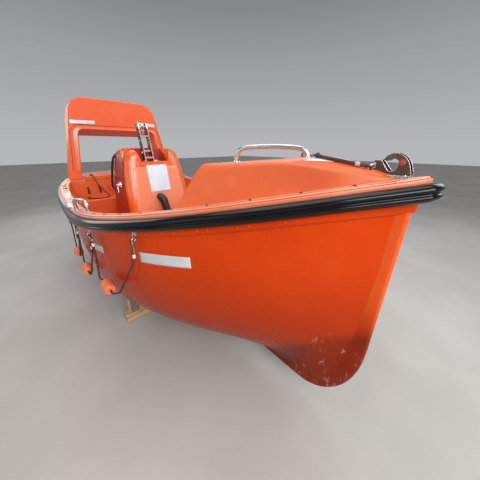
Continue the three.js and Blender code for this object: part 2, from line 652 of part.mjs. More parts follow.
// opening in the crown of the console, with flaring sides: [half breadth, height] rows
const RECESS = { x0: 1490, x1: 2000, z: 1458, sides: [[172, 1458], [176, 1500], [196, 1560], [262, 1800]] };
const recess = (g) => {
  const up = RECESS.sides.map(([y, z], i) => [y + g, i === 0 ? z - g : z]);
  return toSolid(prismX([...up, ...up.map(([y, z]) => [-y, z]).reverse()], RECESS.x0 - g, RECESS.x1));
};
const shellSide = prismY([[1440, 1700], [1440, 1612], [1516, 1582], [1650, 1540], [1725, 1487],
  [1745, 1420], [1762, 1200], [1800, 940], [1850, 600], [2100, 600], [2100, 1700]], -600, 600);

const LIFT = { x: 1590, lean: -0.19, y: 50, thick: 12, width: 92, top: 1905, foot: SOLE_Z + GAP };
const liftX = (z) => LIFT.x + (z - RECESS.z) * LIFT.lean;
function liftSides(g) {
  const w = LIFT.width / 2 + g;
  const side = [[LIFT.x - w, 600], [LIFT.x + w, 600], [LIFT.x + w, RECESS.z],
    [liftX(1840) + w, 1840], [liftX(LIFT.top) + w - 22, LIFT.top + g],
    [liftX(LIFT.top) - w + 22, LIFT.top + g],
    [liftX(1840) - w, 1840], [LIFT.x - w, RECESS.z]];
  const out = [-1, 1].map((s) => {
    const y = s * LIFT.y;
    return toSolid(prismY(side, y - LIFT.thick / 2 - g, y + LIFT.thick / 2 + g));
  });
  return out[0].add(out[1]);
}

const outerConsole = consoleSolid(0);
// the deeper body shows aft of the front shell, so its own skin comes out to the full breadth there
const shellZone = toSolid(shellSide);
const innerCore = consoleSolid(FRONT_SKIN);
const body = outerConsole.subtract(shellZone).add(innerCore)
  .subtract(consoleSolid(FRONT_SKIN + 12, 20).subtract(recess(12)))
  .subtract(recess(0))
  .subtract(liftSides(2));
const frontShell = outerConsole.intersect(toSolid(shellSide).translate([GAP, 0, 0]))
  .subtract(consoleSolid(FRONT_SKIN - GAP)).subtract(recess(0));

const CONSOLE_LEAN = THREE.MathUtils.radToDeg(Math.atan2(1381 - 1100, 1500 - SOLE_Z));
const dashFace = faceFrame(V(1100, 0, SOLE_Z), CONSOLE_LEAN);
const CONSOLE_DOOR = { half: 140, low: 90, high: 505 };
const doorway = box(-60, -CONSOLE_DOOR.half + 16, CONSOLE_DOOR.low + 16, 40, CONSOLE_DOOR.half - 16,
  CONSOLE_DOOR.high - 16).applyMatrix4(dashFace);
add('console_body', body.subtract(toSolid(doorway)), ORANGE);
add('console_front_shell', frontShell, ORANGE);
const doorPlate = union(
  box(1, -CONSOLE_DOOR.half, CONSOLE_DOOR.low, 14, CONSOLE_DOOR.half, CONSOLE_DOOR.high),
  box(13, -CONSOLE_DOOR.half + 40, CONSOLE_DOOR.low + 40,
    20, CONSOLE_DOOR.half - 40, CONSOLE_DOOR.high - 40),
  rod(V(12, 86, 300), V(36, 86, 300), 10, 12),
  rod(V(28, 86, 266), V(28, 86, 334), 6, 10),
);
add('console_door', toGeometry(doorPlate).applyMatrix4(dashFace), ORANGE);

// blank instruction plate on the front face, and the air duct that goes down to the sole below it
const frontLean = THREE.MathUtils.radToDeg(Math.atan2(1855 - 1800, 1430 - 1105));
const sheet = box(0.6, -125, -170, 3, 125, 155);
sheet.rotateY(-rad(frontLean)).translate(1828, 0, 1268);
add('instruction_plate', toSolid(sheet).subtract(consoleSolid(-GAP)), WHITE);
const duct = tube([V(1800, -30, 1040), V(1904, -30, 1036), V(1956, -26, 1004), V(1978, -20, 940),
  V(1984, -14, 870), V(1986, -10, SOLE_Z + 30), V(1986, -10, SOLE_Z + GAP)], 48, 18, 14);
add('air_duct', toSolid(duct).subtract(consoleSolid(-GAP)), BLACK);

// lifting frame, hook and release

const PIN_Z = 1866;
const hookX = liftX(PIN_Z);
const liftFrame = liftSides(0)
  .add(toSolid(box(LIFT.x - 40, -LIFT.y, 1490, LIFT.x + 40, LIFT.y, 1512)))
  .add(toSolid(box(liftX(1760) - 36, -LIFT.y, 1748, liftX(1760) + 30, LIFT.y, 1764)))
  .add(toSolid(box(LIFT.x - 80, -92, SOLE_Z + GAP, LIFT.x + 80, 92, SOLE_Z + 14)))
  .add(toSolid(rod(V(hookX, -66, PIN_Z), V(hookX, 66, PIN_Z), 11, 16)))
  .subtract(toSolid(box(1400, -300, 500, 1800, 300, SOLE_Z + GAP)));
add('lift_frame', liftFrame, STEEL);
const hookShape = rounded([[-34, -24, 12], [34, -24, 12], [34, 10, 11], [22, 34, 11], [-22, 34, 11],
  [-34, 10, 11]]);
const hook = toSolid(prismY(hookShape.map(([x, z]) => [hookX + x, PIN_Z + z]), -16, 16))
  .add(toSolid(box(hookX - 18, -10, PIN_Z - 90, hookX + 18, 10, PIN_Z - 20)))
  .subtract(toSolid(rod(V(hookX, -60, PIN_Z), V(hookX, 60, PIN_Z), 11 + GAP, 16)));
add('lift_hook', hook, STEEL);
const lever = union(
  rod(V(1592, 0, 1580), V(1692, 0, 1706), 7, 10),
  new THREE.SphereGeometry(18, 14, 10).translate(1697, 0, 1714),
  rod(V(1592, -LIFT.y + 6.3, 1578), V(1592, LIFT.y - 6.3, 1578), 12, 14),
);
add('release_lever', lever, BRIGHT_ORANGE);

// helm

const WHEEL = { radius: 170, rim: 13, y: -80, up: 707, out: 122 };
const wheelAt = (out) => V(out, -WHEEL.y, WHEEL.up).applyMatrix4(dashFace);
add('steering_hub', toSolid(rod(wheelAt(-4), wheelAt(WHEEL.out - 18.6), 34, 20, 26))
  .subtract(consoleSolid(-GAP)), BLACK);
const spokes = [90, 210, 330].map((a) => rod(V(0, 0, 0),
  V(0, WHEEL.radius * Math.cos(rad(a)), WHEEL.radius * Math.sin(rad(a))), 8, 10));
const wheel = union(
  new THREE.TorusGeometry(WHEEL.radius, WHEEL.rim, 8, 32).rotateY(Math.PI / 2),
  ...spokes,
  rod(V(-18, 0, 0), V(18, 0, 0), 32, 20),
);
add('steering_wheel', toGeometry(wheel).applyMatrix4(faceFrame(wheelAt(WHEEL.out), CONSOLE_LEAN)), BLACK);

// control with a long handle and two short arms on the starboard side
const sideAt = (x, z) => {
  const row = (key) => along(CONSOLE.map((r) => [r.z, r[key]]), z);
  return lerp(row('half'), row('side'), (x - row('aft')) / (row('fore') - 90 - row('aft')));
};
const CTRL = { x: 1570, z: 1190, out: 40 };
const ctrlY = -sideAt(CTRL.x, CTRL.z);
const ctrlArm = (dx, dz, r0, r1) => rod(V(CTRL.x, ctrlY - CTRL.out + 4, CTRL.z),
  V(CTRL.x + dx, ctrlY - CTRL.out, CTRL.z + dz), r0, 10, r1);
add('throttle_lever', toSolid(rod(V(CTRL.x, ctrlY + 30, CTRL.z), V(CTRL.x, ctrlY - 16, CTRL.z), 34, 20))
  .add(toSolid(rod(V(CTRL.x, ctrlY - 14, CTRL.z), V(CTRL.x, ctrlY - CTRL.out - 8, CTRL.z), 17, 16)))
  .add(toSolid(ctrlArm(66, 152, 8, 6)))
  .add(toSolid(ctrlArm(205, 8, 10, 8)))
  .add(toSolid(ctrlArm(24, -100, 8, 7)))
  .add(toSolid(new THREE.SphereGeometry(12, 12, 8).translate(CTRL.x + 66, ctrlY - CTRL.out, CTRL.z + 152)))
  .subtract(consoleSolid(-GAP)), STEEL);

// coated hand hold down the starboard aft edge of the console
const hold = tube([V(1440, -308, 1560), V(1424, -330, 1540), V(1406, -360, 1506), V(1388, -372, 1460),
  V(1352, -386, 1370), V(1310, -396, 1270), V(1268, -402, 1165), V(1262, -400, 1125), V(1278, -390, 1095),
  V(1310, -372, 1080)], 12, 26, 8);
add('console_handhold', toSolid(hold).subtract(consoleSolid(-GAP)), BLACK);

// arch

const ARCH = { front: 552, top: 2274, headerZ: 1863, headerAftZ: 1772, halfTop: 551, halfOpen: 529 };
const archAft = (z) => lerp(345, 183, (z - 1160) / (ARCH.top - 1160));
const archHalf = (z) => ARCH.halfTop + (ARCH.top - z) * 0.207;
const openHalf = (z) => ARCH.halfOpen + (ARCH.headerZ - z) * 0.143;
const archOuter = rounded([[archHalf(1100), 1100, 0], [ARCH.halfTop, ARCH.top, 190],
  [-ARCH.halfTop, ARCH.top, 190], [-archHalf(1100), 1100, 0]], 8);
const archHole = (top, grow) => rounded([[openHalf(900) + grow, 900, 0], [openHalf(top) + grow, top, 70],
  [-openHalf(top) - grow, top, 70], [-openHalf(900) - grow, 900, 0]], 6);
const archBlock = ringBody([
  archOuter.map(([y, z]) => [ARCH.front, y, z]),
  archOuter.map(([y, z]) => [archAft(z), y, z]),
]);
const archOpening = ringBody([
  archHole(ARCH.headerZ, 0).map(([y, z]) => [ARCH.front + 60, y, z + 14]),
  archHole(ARCH.headerAftZ, 0).map(([y, z]) => [120, y, z - 16]),
]);
const archLip = toSolid(prismX(archHole(ARCH.headerZ + 38, 34), ARCH.front - 10, ARCH.front + 11))
  .subtract(toSolid(prismX([[-900, 800], [900, 800], [900, 1330], [-900, 1330]], 400, 700)));
const arch = onRim(toSolid(archBlock).add(archLip).subtract(toSolid(archOpening)));
const sternBoxCut = box(0, -STERN_BOX.half - GAP, 900, 700, STERN_BOX.half + GAP, STERN_BOX.top + GAP);
add('arch', arch.subtract(toSolid(sternBoxCut)), ORANGE);

const COVER = { y: -231, z: 1060, radius: 95 };
add('stern_hatch_cover', union(
  rod(V(COCKPIT.aft + GAP, COVER.y, COVER.z), V(COCKPIT.aft + 16, COVER.y, COVER.z), COVER.radius, 32),
  rod(V(COCKPIT.aft + 14, COVER.y, COVER.z), V(COCKPIT.aft + 22, COVER.y, COVER.z), COVER.radius - 24, 28),
), ORANGE);
// webbing straps on the bulkhead
for (const [name, y] of [['strap_outer', -590], ['strap_inner', -440]]) {
  const strap = prismY(rounded([[COCKPIT.aft + GAP, 1062, 0], [COCKPIT.aft + 22, 1040, 8],
    [COCKPIT.aft + 22, 972, 8], [COCKPIT.aft + GAP, 950, 0]]), y - 12, y + 12);
  add(name, toSolid(strap), BLACK);
}

// fittings on the rim

const HANDLE = { aft: 2190, fore: 2480, insets: [72, 104], rise: 92, radius: 14 };
for (const [side, s] of SIDES) {
  const h = HANDLE;
  const inset = (x) => lerp(...h.insets, (x - h.aft) / (h.fore - h.aft));
  const at = (x, dz) => V(x, s * (halfAt(0, x) - inset(x)), rimTop(x) + dz);
  const handle = tube([at(h.aft, -6), at(h.aft + 1, h.rise * 0.6), at(h.aft + 16, h.rise * 0.9),
    at(h.aft + 52, h.rise), at(h.fore - 52, h.rise), at(h.fore - 16, h.rise * 0.9),
    at(h.fore - 1, h.rise * 0.6),
    at(h.fore, -6)], h.radius, 22, 8);
  const feet = [h.aft, h.fore].map((x) => rod(at(x, -8), at(x, 8), 24, 16));
  add(`grab_handle_${side}`, onRim(union(handle, ...feet)), STEEL);
  const z = rimTop(850);
  add(`cleat_aft_${side}`, onRim(union(
    box(800, s * 874 - 20, z - 14, 900, s * 874 + 20, z + 8),
    rod(V(832, s * 874, z), V(832, s * 874, z + 42), 10, 12),
    rod(V(868, s * 874, z), V(868, s * 874, z + 42), 10, 12),
    rod(V(775, s * 874, z + 44), V(925, s * 874, z + 44), 10, 12),
  )), STEEL);
}

// strip under the fender, with the lifeline eyes

const EYES = [1425, 2015, 2605, 3195];
const EYE = { inset: 44, radius: 12.2, wire: 4.4, drop: 94 };
const eyeZ = (x) => sheer(x) - EYE.drop;
// middle of the eye's ring on the port side, and the direction of the gunwale there
function eyeCentre(x) {
  const turn = Math.atan2(halfAt(0, x + 30) - halfAt(0, x - 30), 60);
  return { x: x + EYE.inset * Math.sin(turn), y: halfAt(0, x) - EYE.inset * Math.cos(turn), turn };
}
for (const [side, s] of SIDES) {
  const inner = insetLine(FLANGE.inset + FLANGE.thick - GAP, RINGS);
  const outer = insetLine(FLANGE.inset, RINGS);
  const rings = [];
  for (let i = 8; i <= RINGS - 3; i++) {
    const [xi, yi] = inner[i];
    const [xo, yo] = outer[i];
    rings.push([
      [xi, s * yi, sheer(xi) - 74], [xi, s * yi, sheer(xi) - 40],
      [xo, s * yo, sheer(xo) - 40], [xo, s * yo, sheer(xo) - 74]]);
  }
  const eyes = EYES.map((x) => {
    const { turn } = eyeCentre(x);
    const eye = union(
      box(-18, -FLANGE.inset - 2, 26, 18, -FLANGE.inset + 5, 46),
      box(-5, -EYE.inset - 9, EYE.radius - 2, 5, -EYE.inset + 5, 30),
      new THREE.TorusGeometry(EYE.radius, EYE.wire, 5, 12).rotateY(Math.PI / 2).translate(0, -EYE.inset, 0),
    ).rotate([0, 0, THREE.MathUtils.radToDeg(turn)]);
    return (s > 0 ? eye : eye.mirror([0, 1, 0])).translate([x, s * halfAt(0, x), eyeZ(x)]);
  });
  add(`flange_strip_${side}`, [toSolid(ringBody(rings)), ...eyes].reduce((a, b) => a.add(b)), ORANGE);
}

// lifelines with their floats

const LINE = { radius: 6.5, drop: 440 };
const FLOAT_SIZE = { length: 150, radius: 45, bore: 6.9 };
// a loop hanging from one eye to the next, lying just off the topside, its float slid down to the aft end
function lifeline(x0, x1, s) {
  const mid = x0 + 168;
  const low = lerp(eyeZ(x0), eyeZ(x1), 0.5) - LINE.drop;
  const half = FLOAT_SIZE.length / 2 + 43;
  const y = (x, inset) => s * halfAt(inset, x);
  const [a, b] = [eyeCentre(x0).x, eyeCentre(x1).x];
  const near = (x, along, dz) => {
    const e = eyeCentre(x);
    return V(e.x + along * Math.cos(e.turn), s * (e.y + along * Math.sin(e.turn)), eyeZ(x) + dz);
  };
  const drop = (x, t, inset) => V(x, y(x, inset), lerp(eyeZ(x0), low, t));
  const end = V(mid + half + 30, y(mid + half + 30, 26), low + 4);
  const top = V(b - 30, y(b - 30, 42), eyeZ(x1) - 150);
  const rise = (t) => end.clone().lerp(top, t);
  return { mid, low, y: y(mid, 26), points: [
    near(x0, 2.5, 0), near(x0, 15, -3), V(a + 25, y(a + 25, 43), eyeZ(x0) - 26),
    drop(a + 28, 0.3, 42), drop(a + 26, 0.62, 36), drop(a + 24, 0.86, 30), drop(a + 34, 0.97, 27),
    ...[-half, 16 - half, -25, 25, half - 16, half].map((step) => V(mid + step, y(mid, 26), low)),
    end, rise(0.14).add(V(0, 0, -9)), rise(0.4).add(V(0, 0, -9)), rise(0.7).add(V(0, 0, -4)), top,
    V(b - 24, y(b - 24, 43), eyeZ(x1) - 80), V(b - 25, y(b - 25, 43), eyeZ(x1) - 28), near(x1, -15, -3),
    near(x1, -2.5, 0),
  ] };
}
const PLACES = ['aft', 'mid', 'fore'];
for (const [side, s] of SIDES) {
  PLACES.forEach((place, k) => {
    const loop = lifeline(EYES[k], EYES[k + 1], s);
    add(`lifeline_${place}_${side}`, tube(loop.points, LINE.radius, 32, 8), ROPE);
    const f = FLOAT_SIZE;
    const profile = [[f.bore, -f.length / 2], [30, -f.length / 2], [41, -f.length / 2 + 14],
      [f.radius, -20], [f.radius, 20], [41, f.length / 2 - 14], [30, f.length / 2], [f.bore, f.length / 2],
      [f.bore, -f.length / 2]];
    const barrel = new THREE.LatheGeometry(profile.map(([r, t]) => new THREE.Vector2(r, t)), 14);
    barrel.rotateZ(Math.PI / 2).translate(loop.mid, loop.y, loop.low);
    add(`float_${place}_${side}`, barrel, FLOAT);
  });
}

// painter from the thimble at the bow fitting, aft along the crown of the trunk and over to port
function trunkTopAt(x, y) {
  const foot = TRUNK.aft + 400; // the lean of the aft face dies out here
  const half = along(TRUNK_HALF, x < foot ? foot - (foot - x) / (1 - TRUNK.lean / 400) : x);
  const top = along(TRUNK_Z, x);
  const across = Math.abs(y);
  if (across < half) return top + crownRise(x) * (1 - (across / half) ** 2);
  const bend = [lerp(trunkFoot(x), half, TRUNK_SHOULDER[0]), lerp(rimTop(x) - 10, top, TRUNK_SHOULDER[1])];
  return along([[half, top], bend, [trunkFoot(x), rimTop(x) - 10]], across);
}
const PAINTER = { radius: 8, way: [[4118, -75], [4070, -80], [4006, -84], [3948, -78], [3922, -40],
  [3900, 20], [3852, 110], [3780, 198], [3690, 262], [3640, 306]] };
add('painter', tube([V(4176, -52, 1553), V(4152, -62, 1559),
  ...PAINTER.way.map(([x, y]) => V(x, y, trunkTopAt(x, y) + PAINTER.radius + 2.5)),
  ...[[3606, 356], [3582, 400], [3566, 432], [3552, 458]].map(([x, y]) =>
    V(x, y, trunkTopAt(x, y) + PAINTER.radius + 24))], PAINTER.radius, 28, 8), ROPE);

// cable from the stern deck down over the bulkhead and the seat
add('stern_cable', tube([V(480, -500, STERN_BOX.top + 10), V(530, -498, STERN_BOX.top + 12),
  V(566, -494, STERN_BOX.top + 8), V(588, -484, 1180), V(598, -450, 1080), V(630, -390, 980),
  V(680, -350, SEAT_Z + 36), V(744, -370, SEAT_Z + 19), V(766, -460, SEAT_Z + 18), V(720, -560, SEAT_Z + 18),
  V(660, -600, SEAT_Z + 18)], 7, 28, 8), BLACK);

// engine and drive

const engine = union(
  box(1190, -120, PIT.floor + GAP, 1490, 120, 470),
  box(1210, -96, 460, 1470, 96, 640),
  box(1240, -60, 636, 1440, 60, 700),
  rod(V(1460, 0, 420), V(1494, 0, 420), 110, 24),
  rod(onShaft(612), onShaft(700), 46, 20),
  box(1200, -172, PIT.floor + GAP, 1250, 172, 300),
  box(1420, -172, PIT.floor + GAP, 1470, 172, 300),
  rod(V(1260, 104, 520), V(1420, 104, 520), 30, 14),
);
add('engine_block', engine, GREY);
add('propeller_shaft', rod(onShaft(26), onShaft(611.7), SHAFT_RADIUS, 16), STEEL);

// blade sections from root to tip: radius, chord, pitch angle, thickness
const BLADE = [[22, 52, 62, 9], [50, 84, 48, 7], [80, 104, 36, 5], [106, 88, 29, 4],
  [PROP.radius, 34, 26, 3]];
function blade(turn) {
  const rings = BLADE.map(([r, chord, pitch, t]) => {
    const c = Math.cos(rad(pitch));
    const n = Math.sin(rad(pitch));
    return [[-0.5, 0], [-0.2, 0.5], [0.25, 0.5], [0.5, 0], [0.25, -0.5], [-0.2, -0.5]].map(([u, v]) => {
      const [a, b] = [u * chord, v * t];
      return [a * n + b * c, a * c - b * n, r];
    });
  });
  return ringBody(rings).rotateX(rad(turn));
}
const propeller = union(
  rod(V(-34, 0, 0), V(25, 0, 0), 26, 20),
  rod(V(-62, 0, 0), V(-33, 0, 0), 8, 20, 25),
  ...[0, 120, 240].map(blade),
);
const shaftFrame = new THREE.Matrix4().makeRotationY(-rad(PROP.rise));
shaftFrame.setPosition(V(PROP.x, 0, PROP.z));
add('propeller', toGeometry(propeller).applyMatrix4(shaftFrame), BRONZE);

const n = NOZZLE;
const ductRing = new THREE.LatheGeometry([[n.inner, -n.length / 2], [n.outer - 4, -n.length / 2],
  [n.outer, 0], [n.outer, n.length / 2 - 18], [n.outer - 5, n.length / 2], [n.inner + 2, n.length / 2],
  [n.inner, n.length / 4], [n.inner, -n.length / 2]].map(([r, t]) => new THREE.Vector2(r, t)), 32);
ductRing.rotateZ(-Math.PI / 2).applyMatrix4(shaftFrame);
const stock = rod(V(PROP.x, 0, 306), V(PROP.x, 0, STOCK.top), STOCK.radius, 16);
add('steering_nozzle', toSolid(ductRing).add(toSolid(stock))
  .add(toSolid(box(PROP.x - 40, -7, 300, PROP.x + 40, 7, 324))), GREY);

// timber cradle

// cuts a block to the shape of the hull, with a hair of clearance
const hullAbove = hull.translate([0, 0, -GAP]).add(hull);
const FLOOR = -KEEL_HEIGHT;
const BEAM = { height: 100, width: 110, half: 780 };
const BEAMS = [['fore', 2330, 560], ['aft', 1050, 540]];
for (const [place, x, out] of BEAMS) {
  const [a, b] = [x - BEAM.width / 2, x + BEAM.width / 2];
  const top = FLOOR + BEAM.height;
  add(`cradle_beam_${place}`, box(a, -BEAM.half, FLOOR, b, BEAM.half, top), TIMBER);
  add(`keel_block_${place}`,
    toSolid(box(a - 30, -70, top + GAP, b + 30, 70, 40)).subtract(hullAbove), TIMBER);
  for (const [side, s] of SIDES) {
    const y = [s * (out - 75), s * (out + 75)].sort((p, q) => p - q);
    const chock = toSolid(box(a + 6, y[0], top + GAP, b - 6, y[1], 420));
    add(`bilge_chock_${place}_${side}`, chock.subtract(hullAbove), TIMBER);
  }
}

// upright plank standing on the fore beam, outside the chock
const STAKE = { x: 2330, y: -713, thick: 18, width: 80, top: 132 };
add('cradle_stake', toSolid(box(STAKE.x - STAKE.width / 2, STAKE.y - STAKE.thick, FLOOR + BEAM.height + GAP,
  STAKE.x + STAKE.width / 2, STAKE.y, STAKE.top)).subtract(hullAbove), TIMBER);

// finish

boat.position.set(-LENGTH / 2, 0, KEEL_HEIGHT);
const rescueBoat = new THREE.Group();
rescueBoat.add(boat);
export default rescueBoat;
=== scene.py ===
"""Open rigid rescue boat of moulded glass fibre on a timber cradle: its finishes and its detailed pieces."""
import json
import math

import bmesh
import bpy
import numpy as np
from mathutils import Matrix, Vector


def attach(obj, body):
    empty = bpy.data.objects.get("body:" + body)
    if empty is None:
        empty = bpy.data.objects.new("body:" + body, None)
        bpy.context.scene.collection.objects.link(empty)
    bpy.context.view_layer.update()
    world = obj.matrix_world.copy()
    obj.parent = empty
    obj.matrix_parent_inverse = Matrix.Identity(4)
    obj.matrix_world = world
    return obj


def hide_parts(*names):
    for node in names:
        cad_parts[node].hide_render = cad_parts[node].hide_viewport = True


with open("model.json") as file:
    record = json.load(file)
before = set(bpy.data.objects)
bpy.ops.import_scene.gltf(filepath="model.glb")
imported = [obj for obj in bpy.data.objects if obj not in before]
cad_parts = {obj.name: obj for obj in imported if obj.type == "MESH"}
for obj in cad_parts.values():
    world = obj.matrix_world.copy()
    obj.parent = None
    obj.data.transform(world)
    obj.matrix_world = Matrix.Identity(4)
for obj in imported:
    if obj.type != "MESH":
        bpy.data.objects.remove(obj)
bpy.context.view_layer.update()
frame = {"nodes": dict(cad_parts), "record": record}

# The boat's own measures are in millimetres: x from the stern, y to port, z from the keel's underside.
MM = 0.001
KEEL_HEIGHT = 150
HALF_BEAM = 991
MAX_BEAM_X = 2017
BOW_VERTEX_X = 4500
STERN_POWER = (5, 2.7)
BOW_POWER = (2.49, 0.8)
BOW_ROUND_X = 4250
BOW_TIP_ANGLE = math.radians(33.5)
BOW_TIP_RADIUS = 80
SHEER = (1238, -1423, 2520, -842)
SHEER_EASE_X, SHEER_EASE_SLOPE, SHEER_EASE_CURVE = 600, -0.09, -7.25e-5
RIM_TOP = 66
COCKPIT_AFT, COCKPIT_FORE, COCKPIT_INSET = 560, 3390, 142
SOLE_Z = 610


def lerp(a, b, t):
    return a + (b - a) * t


def along(rows, x):
    """Value at x in rows of (x, value)."""
    return float(np.interp(x, [r[0] for r in rows], [r[1] for r in rows]))


def sheer(x):
    t = max(x, SHEER_EASE_X) / BOW_VERTEX_X
    z = SHEER[0] + SHEER[1] * t + SHEER[2] * t * t + SHEER[3] * t ** 3
    if x < SHEER_EASE_X:
        z += SHEER_EASE_SLOPE * (x - SHEER_EASE_X) + SHEER_EASE_CURVE * (x * x - SHEER_EASE_X ** 2)
    return z


def rim_top(x):
    return sheer(x) + RIM_TOP


def gunwale_outline():
    """Half the plan of the fender's outside, from the stern's middle to the bow's tip."""
    points = []
    for a in np.arange(0, 90, 1.0):
        c = math.cos(math.radians(a))
        points.append((MAX_BEAM_X * (1 - c), HALF_BEAM * (1 - c ** STERN_POWER[0]) ** (1 / STERN_POWER[1])))

    def half(x):
        s = (x - MAX_BEAM_X) / (BOW_VERTEX_X - MAX_BEAM_X)
        return HALF_BEAM * (1 - s ** BOW_POWER[0]) ** (1 / BOW_POWER[1])

    points += [(x, half(x)) for x in np.arange(MAX_BEAM_X, BOW_ROUND_X, 15.0)]
    reach = (half(BOW_ROUND_X) * math.cos(BOW_TIP_ANGLE) - BOW_TIP_RADIUS) / math.sin(BOW_TIP_ANGLE)
    centre = BOW_ROUND_X + reach
    for k in range(17):
        a = lerp(math.pi / 2 - BOW_TIP_ANGLE, 0, k / 16)
        points.append((centre + BOW_TIP_RADIUS * math.cos(a), BOW_TIP_RADIUS * math.sin(a)))
    return np.array(points)


OUTLINE = gunwale_outline()
LENGTH = OUTLINE[-1][0]
_inset_lines = {}


def inset_line(inset, n, bunch=0.45):
    """The half outline moved inwards by inset, in n steps that bunch at its two ends."""
    key = (round(inset, 3), n, bunch)
    if key in _inset_lines:
        return _inset_lines[key]
    ahead = np.vstack([OUTLINE[1:], OUTLINE[-1:]])
    behind = np.vstack([OUTLINE[:1], OUTLINE[:-1]])
    normal = np.stack([-(ahead - behind)[:, 1], (ahead - behind)[:, 0]], 1)
    normal[0], normal[-1] = (-1, 0), (1, 0)
    normal /= np.linalg.norm(normal, axis=1)[:, None]
    moved = OUTLINE - normal * inset
    kept = [[moved[0][0], 0.0]]
    for x, y in moved[1:]:
        if y <= 0.5:
            if x < LENGTH / 2:
                continue
            last = kept[-1]
            if y < last[1]:
                t = min(last[1] / (last[1] - min(y, last[1] - 0.5)), 1)
                kept.append([lerp(last[0], x, t), 0.0])
            break
        if x <= kept[-1][0] and x > LENGTH / 2:
            continue
        kept.append([x, y])
    kept[-1][1] = 0.0
    kept = np.array(kept)
    arc = np.concatenate([[0], np.cumsum(np.linalg.norm(np.diff(kept, axis=0), axis=1))])
    u = np.linspace(0, 1, n + 1)
    s = arc[-1] * lerp(u, 0.5 - 0.5 * np.cos(np.pi * u), bunch)
    line = np.stack([np.interp(s, arc, kept[:, 0]), np.interp(s, arc, kept[:, 1])], 1)
    line[0, 1] = line[-1, 1] = 0
    _inset_lines[key] = line
    return line


def half_at(inset, x):
    """Half breadth at station x of the outline moved inwards."""
    line = inset_line(inset, 400, 0)
    rising = [line[0]]
    for p in line[1:]:
        if p[0] > rising[-1][0]:
            rising.append(p)
    rising = np.array(rising)
    return float(np.interp(x, rising[:, 0], rising[:, 1]))


def row(x, y, z):
    """A point of the boat, in millimetres, as a point of the row frame, in metres."""
    return Vector(((x - LENGTH / 2) * MM, y * MM, (z + KEEL_HEIGHT) * MM))


# shader sheets


class Value:
    """A node's output that takes part in arithmetic."""

    def __init__(self, look, socket):
        self.look, self.socket = look, socket

    def _math(self, operation, first, second):
        return self.look.node("ShaderNodeMath", {"operation": operation}, {0: first, 1: second})

    def __add__(self, o):
        return self._math("ADD", self, o)

    def __radd__(self, o):
        return self._math("ADD", o, self)

    def __sub__(self, o):
        return self._math("SUBTRACT", self, o)

    def __rsub__(self, o):
        return self._math("SUBTRACT", o, self)

    def __mul__(self, o):
        return self._math("MULTIPLY", self, o)

    def __rmul__(self, o):
        return self._math("MULTIPLY", o, self)

    def __truediv__(self, o):
        return self._math("DIVIDE", self, o)

    def __pow__(self, o):
        return self._math("POWER", self, o)

    def __gt__(self, o):
        return self._math("GREATER_THAN", self, o)

    def __lt__(self, o):
        return self._math("LESS_THAN", self, o)


class Look:
    """A material with its nodes."""

    def __init__(self, name, **fixed):
        self.material = bpy.data.materials.new(name)
        self.material.use_nodes = True
        self.tree = self.material.node_tree
        self.shader = self.tree.nodes["Principled BSDF"]
        for key, value in fixed.items():
            self.shader.inputs[key.replace("_", " ")].default_value = value
        self.place = self.node("ShaderNodeTexCoord", out="Object")

    def node(self, kind, settings=None, sockets=None, out=0):
        """A node of a kind, its settings made first, then the values or links of its sockets."""
        made = self.tree.nodes.new(kind)
        for key, value in (settings or {}).items():
            if key == "stops":
                ramp = made.color_ramp
                while len(ramp.elements) < len(value):
                    ramp.elements.new(0.5)
                for element, (at, colour) in zip(ramp.elements, value):
                    element.position = at
                    element.color = (*colour, 1) if len(colour) == 3 else colour
            else:
                setattr(made, key, value)
        for key, value in (sockets or {}).items():
            if isinstance(value, Value):
                self.tree.links.new(value.socket, made.inputs[key])
            elif isinstance(value, tuple) and len(value) == 3 and made.inputs[key].type == "RGBA":
                made.inputs[key].default_value = (*value, 1)
            else:
                made.inputs[key].default_value = value
        return Value(self, made.outputs[out])

    def drive(self, **sockets):
        for key, value in sockets.items():
            self.tree.links.new(value.socket, self.shader.inputs[key.replace("_", " ")])

    def noise(self, scale, detail=4.0, roughness=0.5, stretch=None, distortion=0.0):
        where = self.place if stretch is None else self.stretched(stretch)
        return self.node("ShaderNodeTexNoise", {"noise_dimensions": "3D"}, {
            "Vector": where, "Scale": scale, "Detail": detail, "Roughness": roughness,
            "Distortion": distortion})

    def stretched(self, factors):
        return self.node("ShaderNodeVectorMath", {"operation": "MULTIPLY"}, {0: self.place, 1: factors})

    def axis(self, letter):
        return self.node("ShaderNodeSeparateXYZ", {}, {0: self.place}, out="XYZ".index(letter))

    def ramp(self, value, *stops):
        return self.node("ShaderNodeValToRGB", {"stops": stops}, {0: value})

    def step(self, value, low, high, to_low=0.0, to_high=1.0):
        """A smooth step of a value."""
        return self.node("ShaderNodeMapRange", {"interpolation_type": "SMOOTHSTEP"}, {
            "Value": value, "From Min": low, "From Max": high, "To Min": to_low, "To Max": to_high})

    def mix(self, factor, a, b):
        """Colour a where the factor is 0, b where it is 1."""
        return self.node("ShaderNodeMix", {"data_type": "RGBA"}, {0: factor, 6: a, 7: b}, out=2)

    def bump(self, height, strength, distance):
        return self.node("ShaderNodeBump", {},
                         {"Height": height, "Strength": strength, "Distance": distance})


